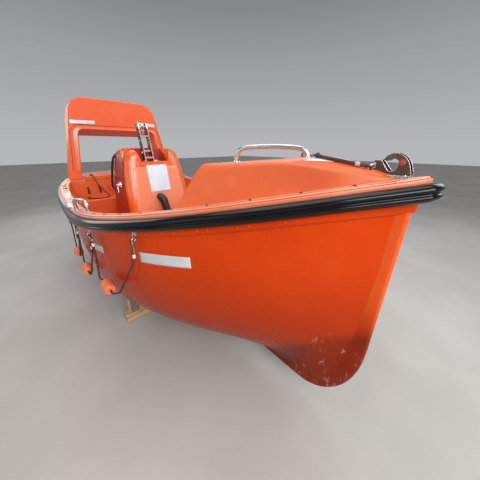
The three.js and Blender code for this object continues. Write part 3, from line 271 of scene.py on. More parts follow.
def gelcoat(name, colour, deep, pale, rough=0.3, coat=0.5, gloss=0.5, painted_sheen=0.0):
    """Gelcoat with soft clouds of tone, polishing swirls and specks, and with a painted sheen, paler where
    it faces straight up.
    """
    look = Look(name, Coat_Weight=coat, Coat_Roughness=0.12, Specular_IOR_Level=gloss)
    clouds = look.noise(1.1, 3, 0.5)
    patches = look.noise(7.0, 5, 0.6)
    tone = look.mix(look.step(clouds, 0.35, 0.65), colour, deep)
    tone = look.mix(look.step(patches, 0.5, 0.75) * 0.22, tone, pale)
    swirls = look.noise(34.0, 6, 0.7, stretch=(1, 1, 0.35))
    specks = look.step(look.noise(160.0, 2, 0.5), 0.70, 0.78)
    tone = look.mix(specks * 0.18, tone, pale)
    roughness = look.step(swirls, 0.3, 0.75, rough - 0.06, rough + 0.12)
    if painted_sheen:
        # painted reflection of the overhead light: faces that look straight up are paled towards a whitish
        # pink
        facing = look.node("ShaderNodeSeparateXYZ", {},
                           {0: look.node("ShaderNodeNewGeometry", out=1)}, out=2)
        tone = look.mix(look.step(facing, 0.968, 0.990) * painted_sheen, tone, (0.80, 0.46, 0.36))
    look.drive(Base_Color=tone, Roughness=roughness)
    waves = look.noise(3.0, 2, 0.4)
    orange_peel = look.noise(420.0, 2, 0.5)
    look.drive(Normal=look.bump(waves * 6 + orange_peel * 0.05, 0.35, 0.0012))
    return look.material


def hull_look(name, worn_and_highlit_stem=False):
    """The outside gelcoat: glossy above, darkened by painted shade towards the bilge and duller and dustier
    there, scraped at the forefoot.
    """
    look = Look(name, Coat_Weight=0.04, Coat_Roughness=0.08, Specular_IOR_Level=0.10)
    across, up = look.axis("X"), look.axis("Z")
    clouds = look.noise(1.1, 3, 0.5)
    patches = look.noise(6.0, 4, 0.55)
    streaks = look.noise(5.0, 5, 0.6)
    swirls = look.noise(13.0, 4, 0.6)
    tone = look.mix(look.step(clouds, 0.35, 0.65), HULL_ORANGE, HULL_DEEP)
    tone = look.mix(look.step(patches, 0.5, 0.75) * 0.12, tone, PALE_ORANGE)
    tone = look.mix(look.step(look.noise(190.0, 2, 0.5), 0.70, 0.78) * 0.10, tone, PALE_ORANGE)
    # painted shade: the hull darkens towards the bilge, as if less light reached it there
    low = look.step(up + streaks * 0.12, 0.46, 1.36, 1.0, 0.0)
    tone = look.mix(low * 0.80, tone, HULL_PAINTED_SHADE)
    # the forefoot below a slanting line, rubbed dull and brown
    below = (look.step(up - across * 0.83 + streaks * 0.10, -0.93, -0.80, 1.0, 0.0)
             * look.step(across, 1.02, 1.42))
    near_stem = look.step(across - up * 0.30, 1.60, 1.74) * look.step(up, 0.66, 0.86, 1.0, 0.0)
    tone = look.mix(below * (0.80 - near_stem * 0.35), tone, HULL_RUBBED)
    # floor dust on the bilge, and white scratches where the keel turns up into the stem
    dust = look.step(up + streaks * 0.12, 0.24, 0.50, 1.0, 0.0)
    tone = look.mix(dust * look.step(look.noise(19.0, 6, 0.7), 0.40, 0.66) * 0.30, tone, (0.34, 0.15, 0.09))
    scrapes = look.step(look.noise(30.0, 6, 0.75, stretch=(1.0, 1.0, 0.28), distortion=0.6), 0.57, 0.66)
    tone = look.mix(scrapes * near_stem * 0.62, tone, (0.70, 0.42, 0.33))
    if worn_and_highlit_stem:
        # painted highlight: the stem's upper face is brightened as if lit, and it is chipped only at its top
        # corner
        tone = look.mix(look.step(up, 0.80, 1.15) * 0.75, tone, (0.86, 0.125, 0.020))
        chips = look.step(look.noise(46.0, 5, 0.7), 0.52, 0.62) * look.step(up, 1.22, 1.36)
        tone = look.mix(chips * 0.07, tone, (0.86, 0.55, 0.42))
    rough = look.step(swirls, 0.3, 0.75, 0.20, 0.32) + below * 0.14 + dust * 0.16
    waves = look.noise(3.0, 2, 0.4)
    orange_peel = look.noise(420.0, 2, 0.5)
    look.drive(Base_Color=tone, Roughness=rough,
               Normal=look.bump(waves * 6 + orange_peel * 0.05 + scrapes * near_stem * 0.12, 0.35, 0.0012))
    return look.material


def rubber_look():
    """Black extruded rubber, glossy on its crown, with grey dust in its grooves and along its length."""
    look = Look("fender_rubber", Specular_IOR_Level=0.26)
    dust = look.noise(9.0, 6, 0.65, stretch=(0.5, 0.5, 2.5))
    smears = look.noise(60.0, 5, 0.7, stretch=(0.25, 0.25, 1))
    mask = look.step(dust, 0.48, 0.74) * 0.6 + look.step(smears, 0.58, 0.74) * 0.35
    aft = look.step(look.axis("X"), -1.4, 0.6, 1.0, 0.12)
    look.drive(Base_Color=look.mix(mask * aft * 0.35, (0.004, 0.0045, 0.005), (0.17, 0.155, 0.14)),
               Roughness=look.step(dust, 0.35, 0.75, 0.06, 0.20),
               Normal=look.bump(look.noise(260.0, 4, 0.6), 0.12, 0.0008))
    return look.material


def steel_look(name, tint=(0.57, 0.575, 0.59), rough=0.22):
    """Polished stainless steel with a faint brushed grain and a little tea staining."""
    look = Look(name, Metallic=1.0)
    grain = look.noise(300.0, 3, 0.5, stretch=(0.15, 1, 1))
    stain = look.step(look.noise(22.0, 5, 0.6), 0.56, 0.8)
    look.drive(Base_Color=look.mix(stain * 0.35, tint, (0.34, 0.29, 0.24)),
               Roughness=look.step(grain, 0.3, 0.7, rough - 0.06, rough + 0.1) + stain * 0.14,
               Normal=look.bump(grain, 0.06, 0.0004))
    return look.material


def plate_look(name):
    """Heavy plate in lit and shaded copies by the way each face looks: flat sides painted a dark brown as
    painted shade, with a satin sheen, and edges painted bright as highlights.
    """
    look = Look(name, Metallic=0.85)
    sideways = look.node("ShaderNodeSeparateXYZ", {}, {0: look.node("ShaderNodeNewGeometry", out=1)}, out=1)
    flat = look.step(sideways * sideways, 0.5, 0.75)
    soft = look.noise(18.0, 3, 0.5)
    brown = look.mix(look.step(soft, 0.35, 0.65), (0.115, 0.066, 0.052), (0.16, 0.098, 0.08))
    # painted light: flat sides take the dark brown shade, all other faces the bright highlight
    look.drive(Base_Color=look.mix(flat, (0.80, 0.80, 0.81), brown),
               Roughness=look.step(flat, 0.0, 1.0, 0.22, 0.36))
    return look.material


def plastic_look(name, colour, worn, rough=0.5, coat=0.0):
    """Moulded plastic or enamel with a fine grain and scuffs."""
    look = Look(name, Coat_Weight=coat)
    grain = look.noise(520.0, 2, 0.5)
    scuffs = look.step(look.noise(38.0, 6, 0.75), 0.56, 0.72)
    look.drive(Base_Color=look.mix(scuffs * 0.4, colour, worn),
               Roughness=look.step(grain, 0.3, 0.7, rough - 0.05, rough + 0.07) + scuffs * 0.1,
               Normal=look.bump(grain, 0.18, 0.0005))
    return look.material


def rope_look(name, colour, dark, strand=0.006):
    """Braided line: two sets of crossing strands, with painted shade darkening the hollows between them."""
    look = Look(name, Roughness=0.85)
    wave = {"wave_type": "BANDS", "bands_direction": "DIAGONAL", "wave_profile": "SIN"}
    one = look.node("ShaderNodeTexWave", wave,
                    {"Vector": look.place, "Scale": 0.9 / strand, "Distortion": 1.0})
    two = look.node("ShaderNodeTexWave", wave, {"Vector": look.stretched((1, -1, -1)), "Scale": 0.9 / strand,
                                                "Distortion": 1.0})
    braid = one * two
    dirt = look.noise(40.0, 4, 0.6)
    # painted shade in the hollows between the strands
    tone = look.mix(look.step(braid, 0.05, 0.5), dark, colour)
    look.drive(Base_Color=look.mix(look.step(dirt, 0.5, 0.7) * 0.3, tone, (0.20, 0.17, 0.15)),
               Normal=look.bump(braid, 0.6, 0.0015))
    return look.material


def foam_look():
    """Faded orange foam of the line floats, pitted and grubby."""
    look = Look("float_foam")
    fade = look.noise(11.0, 4, 0.6)
    pits = look.node("ShaderNodeTexVoronoi", {"feature": "F1"}, {"Vector": look.place, "Scale": 260.0})
    grime = look.step(look.noise(24.0, 6, 0.7), 0.52, 0.72)
    tone = look.mix(look.step(fade, 0.35, 0.65), (0.80, 0.17, 0.06), (0.84, 0.26, 0.13))
    look.drive(Base_Color=look.mix(grime * 0.45, tone, (0.50, 0.26, 0.18)),
               Roughness=look.step(fade, 0.3, 0.7, 0.48, 0.62),
               Normal=look.bump(pits, 0.25, 0.001))
    return look.material


def timber_look():
    """Rough sawn softwood with grain along its length, saw marks, knots and floor dirt."""
    look = Look("sawn_timber", Roughness=0.8)
    rings = look.node("ShaderNodeTexWave", {"wave_type": "RINGS", "rings_direction": "Y"},
                      {"Vector": look.stretched((7, 0.8, 7)), "Scale": 2.4,
                       "Distortion": 5.0, "Detail": 3.0})
    fibres = look.noise(120.0, 4, 0.6, stretch=(1, 0.05, 1))
    dirt = look.step(look.noise(9.0, 6, 0.7), 0.46, 0.7)
    tone = look.ramp(rings * 0.55 + fibres * 0.45, (0.25, (0.36, 0.23, 0.12)), (0.55, (0.50, 0.35, 0.20)),
                     (0.8, (0.58, 0.43, 0.27)))
    look.drive(Base_Color=look.mix(dirt * 0.45, tone, (0.20, 0.16, 0.12)),
               Normal=look.bump(fibres + rings * 0.3, 0.35, 0.002))
    return look.material


def tape_look():
    """Silver-white retro-reflective tape with its fine cells and a slightly lifted skin."""
    look = Look("reflective_tape", Metallic=0.25, Roughness=0.32)
    cells = look.node("ShaderNodeTexVoronoi", {"feature": "DISTANCE_TO_EDGE"},
                      {"Vector": look.place, "Scale": 330.0})
    soft = look.noise(14.0, 4, 0.6)
    edge = look.step(cells, 0.0, 0.08)
    tone = look.mix(look.step(soft, 0.35, 0.7), (0.62, 0.64, 0.66), (0.78, 0.79, 0.80))
    look.drive(Base_Color=look.mix(edge, (0.52, 0.54, 0.56), tone),
               Normal=look.bump(edge + soft * 2, 0.15, 0.0006))
    return look.material


def sheet_look():
    """White laminated sheet, faintly buckled."""
    look = Look("white_sheet", Roughness=0.28, Coat_Weight=0.3)
    soft = look.noise(9.0, 3, 0.5)
    look.drive(Base_Color=look.mix(look.step(soft, 0.35, 0.65), (0.64, 0.77, 0.90), (0.72, 0.83, 0.93)),
               Normal=look.bump(soft, 0.3, 0.004))
    return look.material


def concrete_look():
    """Plain pale floor."""
    look = Look("pale_floor", Roughness=0.75)
    clouds = look.noise(0.9, 5, 0.55)
    fine = look.noise(60.0, 4, 0.6)
    look.drive(Base_Color=look.mix(look.step(clouds, 0.3, 0.7), (0.42, 0.41, 0.395), (0.49, 0.48, 0.465)),
               Normal=look.bump(fine, 0.06, 0.002))
    return look.material


HULL_ORANGE = (0.60, 0.047, 0.001)
HULL_DEEP = (0.53, 0.038, 0.001)
PALE_ORANGE = (0.66, 0.10, 0.02)
# painted shade: the darker hull tone towards the bilge
HULL_PAINTED_SHADE = (0.31, 0.024, 0.002)
HULL_RUBBED = (0.12, 0.015, 0.005)

looks = {
    "gelcoat_orange": hull_look("gelcoat_hull"),
    # the trunk gelcoat takes a painted sheen on its up-facing crown
    "gelcoat_deep": gelcoat("gelcoat_trunk", (0.66, 0.115, 0.022), (0.58, 0.085, 0.016),
                            (0.72, 0.20, 0.09), 0.46, 0.12,
                             painted_sheen=0.45),
    "gelcoat_deck": gelcoat("gelcoat_deck", (0.74, 0.13, 0.03), (0.66, 0.10, 0.02),
                            (0.80, 0.25, 0.12), 0.34, 0.4),
    "gelcoat_console": gelcoat("gelcoat_console", (0.80, 0.13, 0.012), (0.72, 0.10, 0.01),
                               (0.85, 0.24, 0.10), 0.28, 0.6),
    "gelcoat_arch": gelcoat("gelcoat_arch", (0.86, 0.135, 0.042), (0.79, 0.112, 0.032),
                            (0.90, 0.24, 0.12), 0.42, 0.05,
                             gloss=0.3),
    "fender_rubber": rubber_look(),
    "stainless": steel_look("stainless"),
    "black_plastic": plastic_look("black_plastic", (0.016, 0.016, 0.018), (0.09, 0.085, 0.08), 0.42),
    "rope_dark": rope_look("dark_line", (0.16, 0.035, 0.03), (0.05, 0.012, 0.012)),
    "float_orange": foam_look(),
    "plate_white": sheet_look(),
    "engine_grey": plastic_look("engine_enamel", (0.13, 0.16, 0.18), (0.30, 0.30, 0.30), 0.45, 0.2),
    "bronze": steel_look("cast_bronze", (0.56, 0.38, 0.16), 0.34),
    "paint_red": plastic_look("red_enamel", (0.68, 0.02, 0.02), (0.45, 0.08, 0.06), 0.3, 0.4),
    "timber": timber_look(),
    "tape": tape_look(),
    "gelcoat_stem": hull_look("gelcoat_stem", worn_and_highlit_stem=True),
    # painted sheen: the rim's up-facing top is paled whitish pink as a painted reflection of the overhead
    # light
    "gelcoat_rim": gelcoat("gelcoat_rim", (0.72, 0.33, 0.20), (0.68, 0.25, 0.14),
                           (0.80, 0.52, 0.42), 0.38, 0.25),
    # painted highlight: the ledge and the face below it are paled pink as where the ledge catches the light
    "gelcoat_ledge": gelcoat("gelcoat_ledge", (0.72, 0.24, 0.14), (0.66, 0.17, 0.08),
                             (0.80, 0.44, 0.34), 0.34, 0.3),
    "gelcoat_console_side": gelcoat("gelcoat_console_side", (0.47, 0.028, 0.004), (0.39, 0.022, 0.003),
                                    (0.55, 0.08, 0.03), 0.4, 0.12),
    "gelcoat_front": gelcoat("gelcoat_front", (0.84, 0.27, 0.15), (0.78, 0.22, 0.11),
                             (0.88, 0.38, 0.25), 0.3, 0.4),
    "gelcoat_lip": gelcoat("gelcoat_lip", (0.80, 0.16, 0.05), (0.74, 0.13, 0.04),
                           (0.86, 0.28, 0.16), 0.26, 0.6),
    "stainless_plate": plate_look("stainless_plate"),
    "pin_red": plastic_look("pin_red", (0.40, 0.055, 0.035), (0.42, 0.16, 0.12), 0.4),
    "rivet": steel_look("rivet_metal", (0.46, 0.30, 0.24), 0.4),
    "sealant": plastic_look("sealant", (0.30, 0.04, 0.02), (0.4, 0.12, 0.08), 0.6),
    "pale_plastic": plastic_look("pale_plastic", (0.74, 0.73, 0.70), (0.45, 0.42, 0.38), 0.5),
    "sleeve_grey": plastic_look("sleeve_grey", (0.42, 0.38, 0.36), (0.30, 0.24, 0.22), 0.45),
    "engine_dark": plastic_look("engine_fittings", (0.03, 0.03, 0.032), (0.2, 0.2, 0.2), 0.5),
}

# camera, floor and light

camera = bpy.data.objects.new("camera", bpy.data.cameras.new("camera"))
bpy.context.collection.objects.link(camera)
camera.data.sensor_width = 36
camera.data.lens = 15.543
camera.data.shift_x = -0.0013
camera.data.shift_y = -0.0307
camera.data.clip_start = 0.02
camera.location = (2.2448, -1.079, 1.783)
camera.rotation_euler = (math.radians(69.19), 0, math.radians(46.44))
bpy.context.scene.camera = camera

bpy.ops.mesh.primitive_plane_add(size=60, location=(0, 0, -0.0005))
floor = bpy.context.object
floor.name = "floor"
floor.data.materials.append(concrete_look())

bpy.context.scene.view_settings.view_transform = "Standard"
world = bpy.data.worlds.new("studio")
bpy.context.scene.world = world
world.use_nodes = True
# an even pale room, dimmer above the walls and brighter overhead
sky = world.node_tree.nodes
upward = sky.new("ShaderNodeSeparateXYZ")
room = sky.new("ShaderNodeValToRGB")
for at, grey in ((0.30, 0.34), (0.56, 0.16), (0.80, 0.20), (1.0, 0.95)):
    element = room.color_ramp.elements.new(at)
    element.color = (grey * 0.97, grey * 0.99, grey, 1)
room.color_ramp.elements[0].color = (0.46, 0.47, 0.48, 1)
world.node_tree.links.new(sky.new("ShaderNodeTexCoord").outputs["Generated"], upward.inputs[0])
world.node_tree.links.new(upward.outputs["Z"], room.inputs[0])
world.node_tree.links.new(room.outputs[0], sky["Background"].inputs["Color"])
sky["Background"].inputs["Strength"].default_value = 1.0

# name, place, point it looks at, size, power in watts, colour
LAMPS = (
    ("overhead", (0.2, 0.5, 5.2), (0, 0, 0.8), 4.5, 120, (1, 0.99, 0.97)),
    ("shop_front", (5.6, -1.6, 3.6), (0.9, -0.2, 1.0), 3.0, 260, (1, 0.985, 0.96)),
    ("skylight", (3.6, 4.6, 4.4), (1.0, 0, 1.2), 3.0, 90, (0.95, 0.98, 1)),
    ("shop_side", (0.6, -5.6, 3.0), (-0.4, -0.4, 0.9), 3.5, 40, (1, 0.98, 0.95)),
    ("stern_side", (-4.8, -1.6, 3.4), (-1.2, 0, 1.2), 3.0, 50, (1, 1, 1)),
)
for name, place, aim, size, power, colour in LAMPS:
    lamp = bpy.data.objects.new(name, bpy.data.lights.new(name, "AREA"))
    lamp.data.size, lamp.data.energy, lamp.data.color = size, power, colour
    lamp.location = place
    lamp.rotation_euler = (Vector(aim) - Vector(place)).to_track_quat("-Z", "Y").to_euler()
    bpy.context.collection.objects.link(lamp)

# shaping

SIDES = (("starboard", -1), ("port", 1))
record_slots = {entry["node"]: entry["material_slot"] for entry in frame["record"]["subparts"]}


def sheet_of(rows, around=False, ends=False):
    """Points and faces through rows of equally many points."""
    n, m = len(rows), len(rows[0])
    faces = []
    for i in range(n - 1):
        for j in range(m if around else m - 1):
            k = (j + 1) % m
            faces.append((i * m + j, i * m + k, (i + 1) * m + k, (i + 1) * m + j))
    if ends:
        faces += [tuple(reversed(range(m))), tuple((n - 1) * m + j for j in range(m))]
    return [p for r in rows for p in r], faces


def both_sides(rows):
    """Rows of half lines on the port side, and the same to starboard."""
    points, faces = sheet_of(rows)
    return join((points, faces), ([(x, -y, z) for x, y, z in points], [f[::-1] for f in faces]))


def join(*shapes):
    points, faces = [], []
    for more, its_faces in shapes:
        start = len(points)
        points += [tuple(p) for p in more]
        faces += [tuple(start + i for i in f) for f in its_faces]
    return points, faces


def block(low, high):
    (a, b, c), (d, e, f) = low, high
    points = [(x, y, z) for x in (a, d) for y in (b, e) for z in (c, f)]
    return points, [(0, 1, 3, 2), (4, 6, 7, 5), (0, 4, 5, 1), (2, 3, 7, 6), (0, 2, 6, 4), (1, 5, 7, 3)]


def turned(profile, base, axis, sides=28):
    """Profile of (radius, distance along the axis) turned about it."""
    a = Vector(axis).normalized()
    u = a.orthogonal().normalized()
    v = a.cross(u)
    base = Vector(base)
    rows = []
    for k in range(sides):
        t = 2 * math.pi * k / sides
        rows.append([base + a * d + (u * math.cos(t) + v * math.sin(t)) * r for r, d in profile])
    return sheet_of(rows + rows[:1])


def rod(a, b, radius, sides=20, edge=1.5):
    """Round bar between two points with eased ends."""
    a, b = Vector(a), Vector(b)
    n = (b - a).length
    e = min(edge, n / 3, radius / 2)
    return turned([(0, 0), (radius - e, 0), (radius, e), (radius, n - e), (radius - e, n),
                   (0, n)], a, b - a, sides)


def ball(centre, radius, sides=20, squash=1.0):
    profile = [(radius * math.sin(t), -radius * squash * math.cos(t))
               for t in np.linspace(0, math.pi, sides // 2 + 1)]
    return turned(profile, centre, (0, 0, 1), sides)


def smooth_path(points, spacing):
    """Points of a centripetal Catmull-Rom curve through the given ones, about spacing apart."""
    p = [Vector(q) for q in points]
    p = [p[0] * 2 - p[1], *p, p[-1] * 2 - p[-2]]
    out = []
    for i in range(1, len(p) - 2):
        knots = [0.0]
        for a, b in zip(p[i - 1:i + 2], p[i:i + 3]):
            knots.append(knots[-1] + max((b - a).length, 1e-6) ** 0.5)
        steps = max(int((p[i + 1] - p[i]).length / spacing), 1)
        for k in range(steps):
            t = lerp(knots[1], knots[2], k / steps)
            level = list(p[i - 1:i + 3])
            for depth in (1, 2, 3):
                level = [
                    level[j] * ((knots[j + depth] - t) / (knots[j + depth] - knots[j]))
                    + level[j + 1] * ((t - knots[j]) / (knots[j + depth] - knots[j]))
                    for j in range(len(level) - 1)
                ]
            out.append(level[0])
    out.append(p[-2])
    return out


def bent_tube(points, radius, sides=16, spacing=8, closed=False):
    """Tube along a smooth path; radius is a number or a function of the share of the way."""
    path = [Vector(p) for p in points] if spacing is None else smooth_path(points, spacing)
    n = len(path)
    tangent = (path[1] - path[0]).normalized()
    u = tangent.orthogonal().normalized()
    rows = []
    for i, p in enumerate(path):
        if closed:
            now = (path[(i + 1) % n] - path[i - 1]).normalized()
        else:
            now = (path[min(i + 1, n - 1)] - path[max(i - 1, 0)]).normalized()
        u = tangent.rotation_difference(now) @ u
        u = (u - now * u.dot(now)).normalized()
        v = now.cross(u)
        tangent = now
        r = radius(i / (n - 1)) if callable(radius) else radius
        rows.append([p + (u * math.cos(t) + v * math.sin(t)) * r
                     for t in np.linspace(0, 2 * math.pi, sides, endpoint=False)])
    if closed:
        return sheet_of(rows + rows[:1], around=True)
    return sheet_of(rows, around=True, ends=True)


def rounded(corners, steps=6):
    """Closed outline with its corners eased; each corner is (u, v, reach)."""
    out = []
    for i, (u, v, r) in enumerate(corners):
        a, b = Vector(corners[i - 1][:2]), Vector(corners[(i + 1) % len(corners)][:2])
        c = Vector((u, v))
        if not r:
            out.append((u, v))
            continue
        p, q = c + (a - c).normalized() * r, c + (b - c).normalized() * r
        for k in range(steps + 1):
            t = k / steps
            w = p * (1 - t) ** 2 + c * (2 * t * (1 - t)) + q * t * t
            out.append((w.x, w.y))
    return out


def slab(outline, a, b, put):
    """Flat plate of an outline of (u, v) from a to b; put makes (u, v, w) a point of the boat."""
    rows = [[put(u, v, w) for u, v in outline] for w in (a, b)]
    return sheet_of(rows, around=True, ends=True)


def upright(u, v, w):
    """Outline across the boat: u to port, v up, w forward."""
    return (w, u, v)


def lengthwise(u, v, w):
    """Outline along the boat: u forward, v up, w to port."""
    return (u, w, v)


def level_plate(u, v, w):
    return (u, v, w)


def face_frame(origin, lean):
    """Maker of points on a leaning face: out of it, to starboard, and up it."""
    c, s = math.cos(lean), math.sin(lean)
    return lambda out, across, up: (origin[0] - out * c + up * s, origin[1] - across,
                                    origin[2] + out * s + up * c)


def on_frame(shape, put):
    return [put(*p) for p in shape[0]], shape[1]


def crown_bolt(x, y, z, radius=6.5, up=(0, 0, 1)):
    """Domed bolt head on its washer."""
    r = radius
    return turned([(0, 4.6), (r * 0.3, 4.5), (r * 0.72, 3.4), (r * 0.9, 1.6),
                   (r * 0.92, 1.2), (r * 1.5, 1.2), (r * 1.55, 0.5), (r * 1.55, -1.0)], (x, y, z), up, 14)


def mesh_of(name, shape):
    """Mesh from points in the boat's millimetres, with doubled points joined and its faces turned out."""
    points, faces = shape
    mesh = bpy.data.meshes.new(name)
    mesh.from_pydata([row(*p) for p in points], [], faces)
    work = bmesh.new()
    work.from_mesh(mesh)
    bmesh.ops.remove_doubles(work, verts=work.verts, dist=2e-5)
    bmesh.ops.recalc_face_normals(work, faces=work.faces)
    work.to_mesh(mesh)
    work.free()
    return mesh


def make(name, shape, look, slot=None, body="boat", stands_for=(), sharp=33, ease=None, segments=3):
    """A piece from points in the boat's millimetres. ease rounds its edges by that many millimetres."""
    mesh = mesh_of(name, shape)
    thing = bpy.data.objects.new(name, mesh)
    bpy.context.collection.objects.link(thing)
    return finish_piece(thing, look, slot, body, stands_for, sharp, ease, segments)


def finish_piece(thing, look, slot, body, stands_for, sharp, ease, segments):
    mesh = thing.data
    mesh.shade_smooth()
    mesh.set_sharp_from_angle(angle=math.radians(sharp))
    mesh.materials.clear()
    mesh.materials.append(looks[look])
    if ease:
        bevel = thing.modifiers.new("eased edges", "BEVEL")
        bevel.width, bevel.segments = ease * MM, segments
        bevel.limit_method, bevel.angle_limit = "ANGLE", math.radians(sharp)
        bevel.harden_normals = True
    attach(thing, body)
    slot or look
    stands_for = (stands_for,) if isinstance(stands_for, str) else stands_for
    if stands_for:
        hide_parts(*stands_for)
    return thing


def eased(node, look, ease, body="boat", sharp=28, segments=3):
    """The CAD node's own shape in a new piece, its flats joined up and its edges rounded."""
    mesh = frame["nodes"][node].data.copy()
    work = bmesh.new()
    work.from_mesh(mesh)
    bmesh.ops.remove_doubles(work, verts=work.verts, dist=2e-5)
    bmesh.ops.dissolve_limit(work, angle_limit=math.radians(1.5), verts=work.verts, edges=work.edges)
    bmesh.ops.recalc_face_normals(work, faces=work.faces)
    work.to_mesh(mesh)
    work.free()
    thing = bpy.data.objects.new(node + "_finished", mesh)
    bpy.context.collection.objects.link(thing)
    return finish_piece(thing, look, record_slots[node], body, node, sharp, ease, segments)


def thicken(sheet, millimetres, side=0):
    """Gives a sheet its thickness, about its middle or, with side 1, outwards."""
    skin = sheet.modifiers.new("thickness", "SOLIDIFY")
    skin.thickness, skin.offset = millimetres * MM, side


def carve(thing, *cutters):
    """Cuts shapes out of a piece for good."""
    for k, shape in enumerate(cutters):
        tool = bpy.data.objects.new("cutter", mesh_of("cutter", shape))
        bpy.context.collection.objects.link(tool)
        cut = thing.modifiers.new(f"cut {k}", "BOOLEAN")
        cut.operation, cut.solver, cut.object = "DIFFERENCE", "EXACT", tool
        graph = bpy.context.evaluated_depsgraph_get()
        result = bpy.data.meshes.new_from_object(thing.evaluated_get(graph))
        thing.modifiers.remove(cut)
        old = thing.data
        thing.data = result
        bpy.data.meshes.remove(old)
        bpy.data.objects.remove(tool)
    return thing

# cords


def length_of(points):
    return sum((b - a).length for a, b in zip(points, points[1:]))


def line_object(name, points, radius, look):
    """A cord as one open poly spline, given in the row frame."""
    curve = bpy.data.curves.new(name, "CURVE")
    curve.dimensions = "3D"
    curve.bevel_depth = radius
    curve.bevel_resolution = 3
    curve.use_fill_caps = True
    spline = curve.splines.new("POLY")
    spline.points.add(len(points) - 1)
    for target, q in zip(spline.points, points):
        target.co = (*q, 1)
    thing = bpy.data.objects.new(name, curve)
    bpy.context.collection.objects.link(thing)
    curve.materials.append(look)
    return thing


def declared_cord(name, node, points, radius, look):
    path = smooth_path([row(*p) for p in points], 0.008)
    line = line_object(name, path, radius * MM, looks[look])
    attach(line, "boat")
    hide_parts(node)
    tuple(path[0])
    length_of(path)
    return path


EYES = (1425, 2015, 2605, 3195)
EYE_INSET, EYE_DROP, EYE_R, EYE_WIRE = 44, 94, 12.2, 4.4
LINE_RADIUS, LINE_DROP, FLOAT_LENGTH = 6.5, 440, 150


def eye_centre(x):
    turn = math.atan2(half_at(0, x + 30) - half_at(0, x - 30), 60)
    return x + EYE_INSET * math.sin(turn), half_at(0, x) - EYE_INSET * math.cos(turn), turn


def eye_z(x):
    return sheer(x) - EYE_DROP


def lifeline_points(x0, x1, s):
    mid = x0 + 168
    low = lerp(eye_z(x0), eye_z(x1), 0.5) - LINE_DROP
    half = FLOAT_LENGTH / 2 + 43

    def side(x, inset):
        return s * half_at(inset, x)

    def near(x, step, dz):
        ex, ey, turn = eye_centre(x)
        return (ex + step * math.cos(turn), s * (ey + step * math.sin(turn)), eye_z(x) + dz)

    def drop(x, t, inset):
        return (x, side(x, inset), lerp(eye_z(x0), low, t))

    a, b = eye_centre(x0)[0], eye_centre(x1)[0]
    end = Vector((mid + half + 30, side(mid + half + 30, 26), low + 4))
    top = Vector((b - 30, side(b - 30, 42), eye_z(x1) - 150))

    def rise(t, sag=0):
        return tuple(end.lerp(top, t) - Vector((0, 0, sag)))

    return [
        near(x0, 2.5, 0), near(x0, 15, -3), (a + 25, side(a + 25, 43), eye_z(x0) - 26),
        drop(a + 28, 0.3, 42), drop(a + 26, 0.62, 36), drop(a + 24, 0.86, 30), drop(a + 34, 0.97, 27),
        *((mid + step, side(mid, 26), low) for step in (-half, 16 - half, -25, 25, half - 16, half)),
        rise(0), rise(0.14, 9), rise(0.4, 9), rise(0.7, 4), rise(1),
        (b - 24, side(b - 24, 43), eye_z(x1) - 80), (b - 25, side(b - 25, 43), eye_z(x1) - 28),
        near(x1, -15, -3), near(x1, -2.5, 0),
    ]


def at_height(points, z):
    """Place and downward direction of a hanging line where it crosses a height."""
    path = [Vector(p) for p in smooth_path(points, 6)]
    k = min(range(1, len(path) - 1), key=lambda i: abs(path[i].z - z))
    way = (path[k + 1] - path[k - 1]).normalized()
    return path[k], way if way.z < 0 else -way


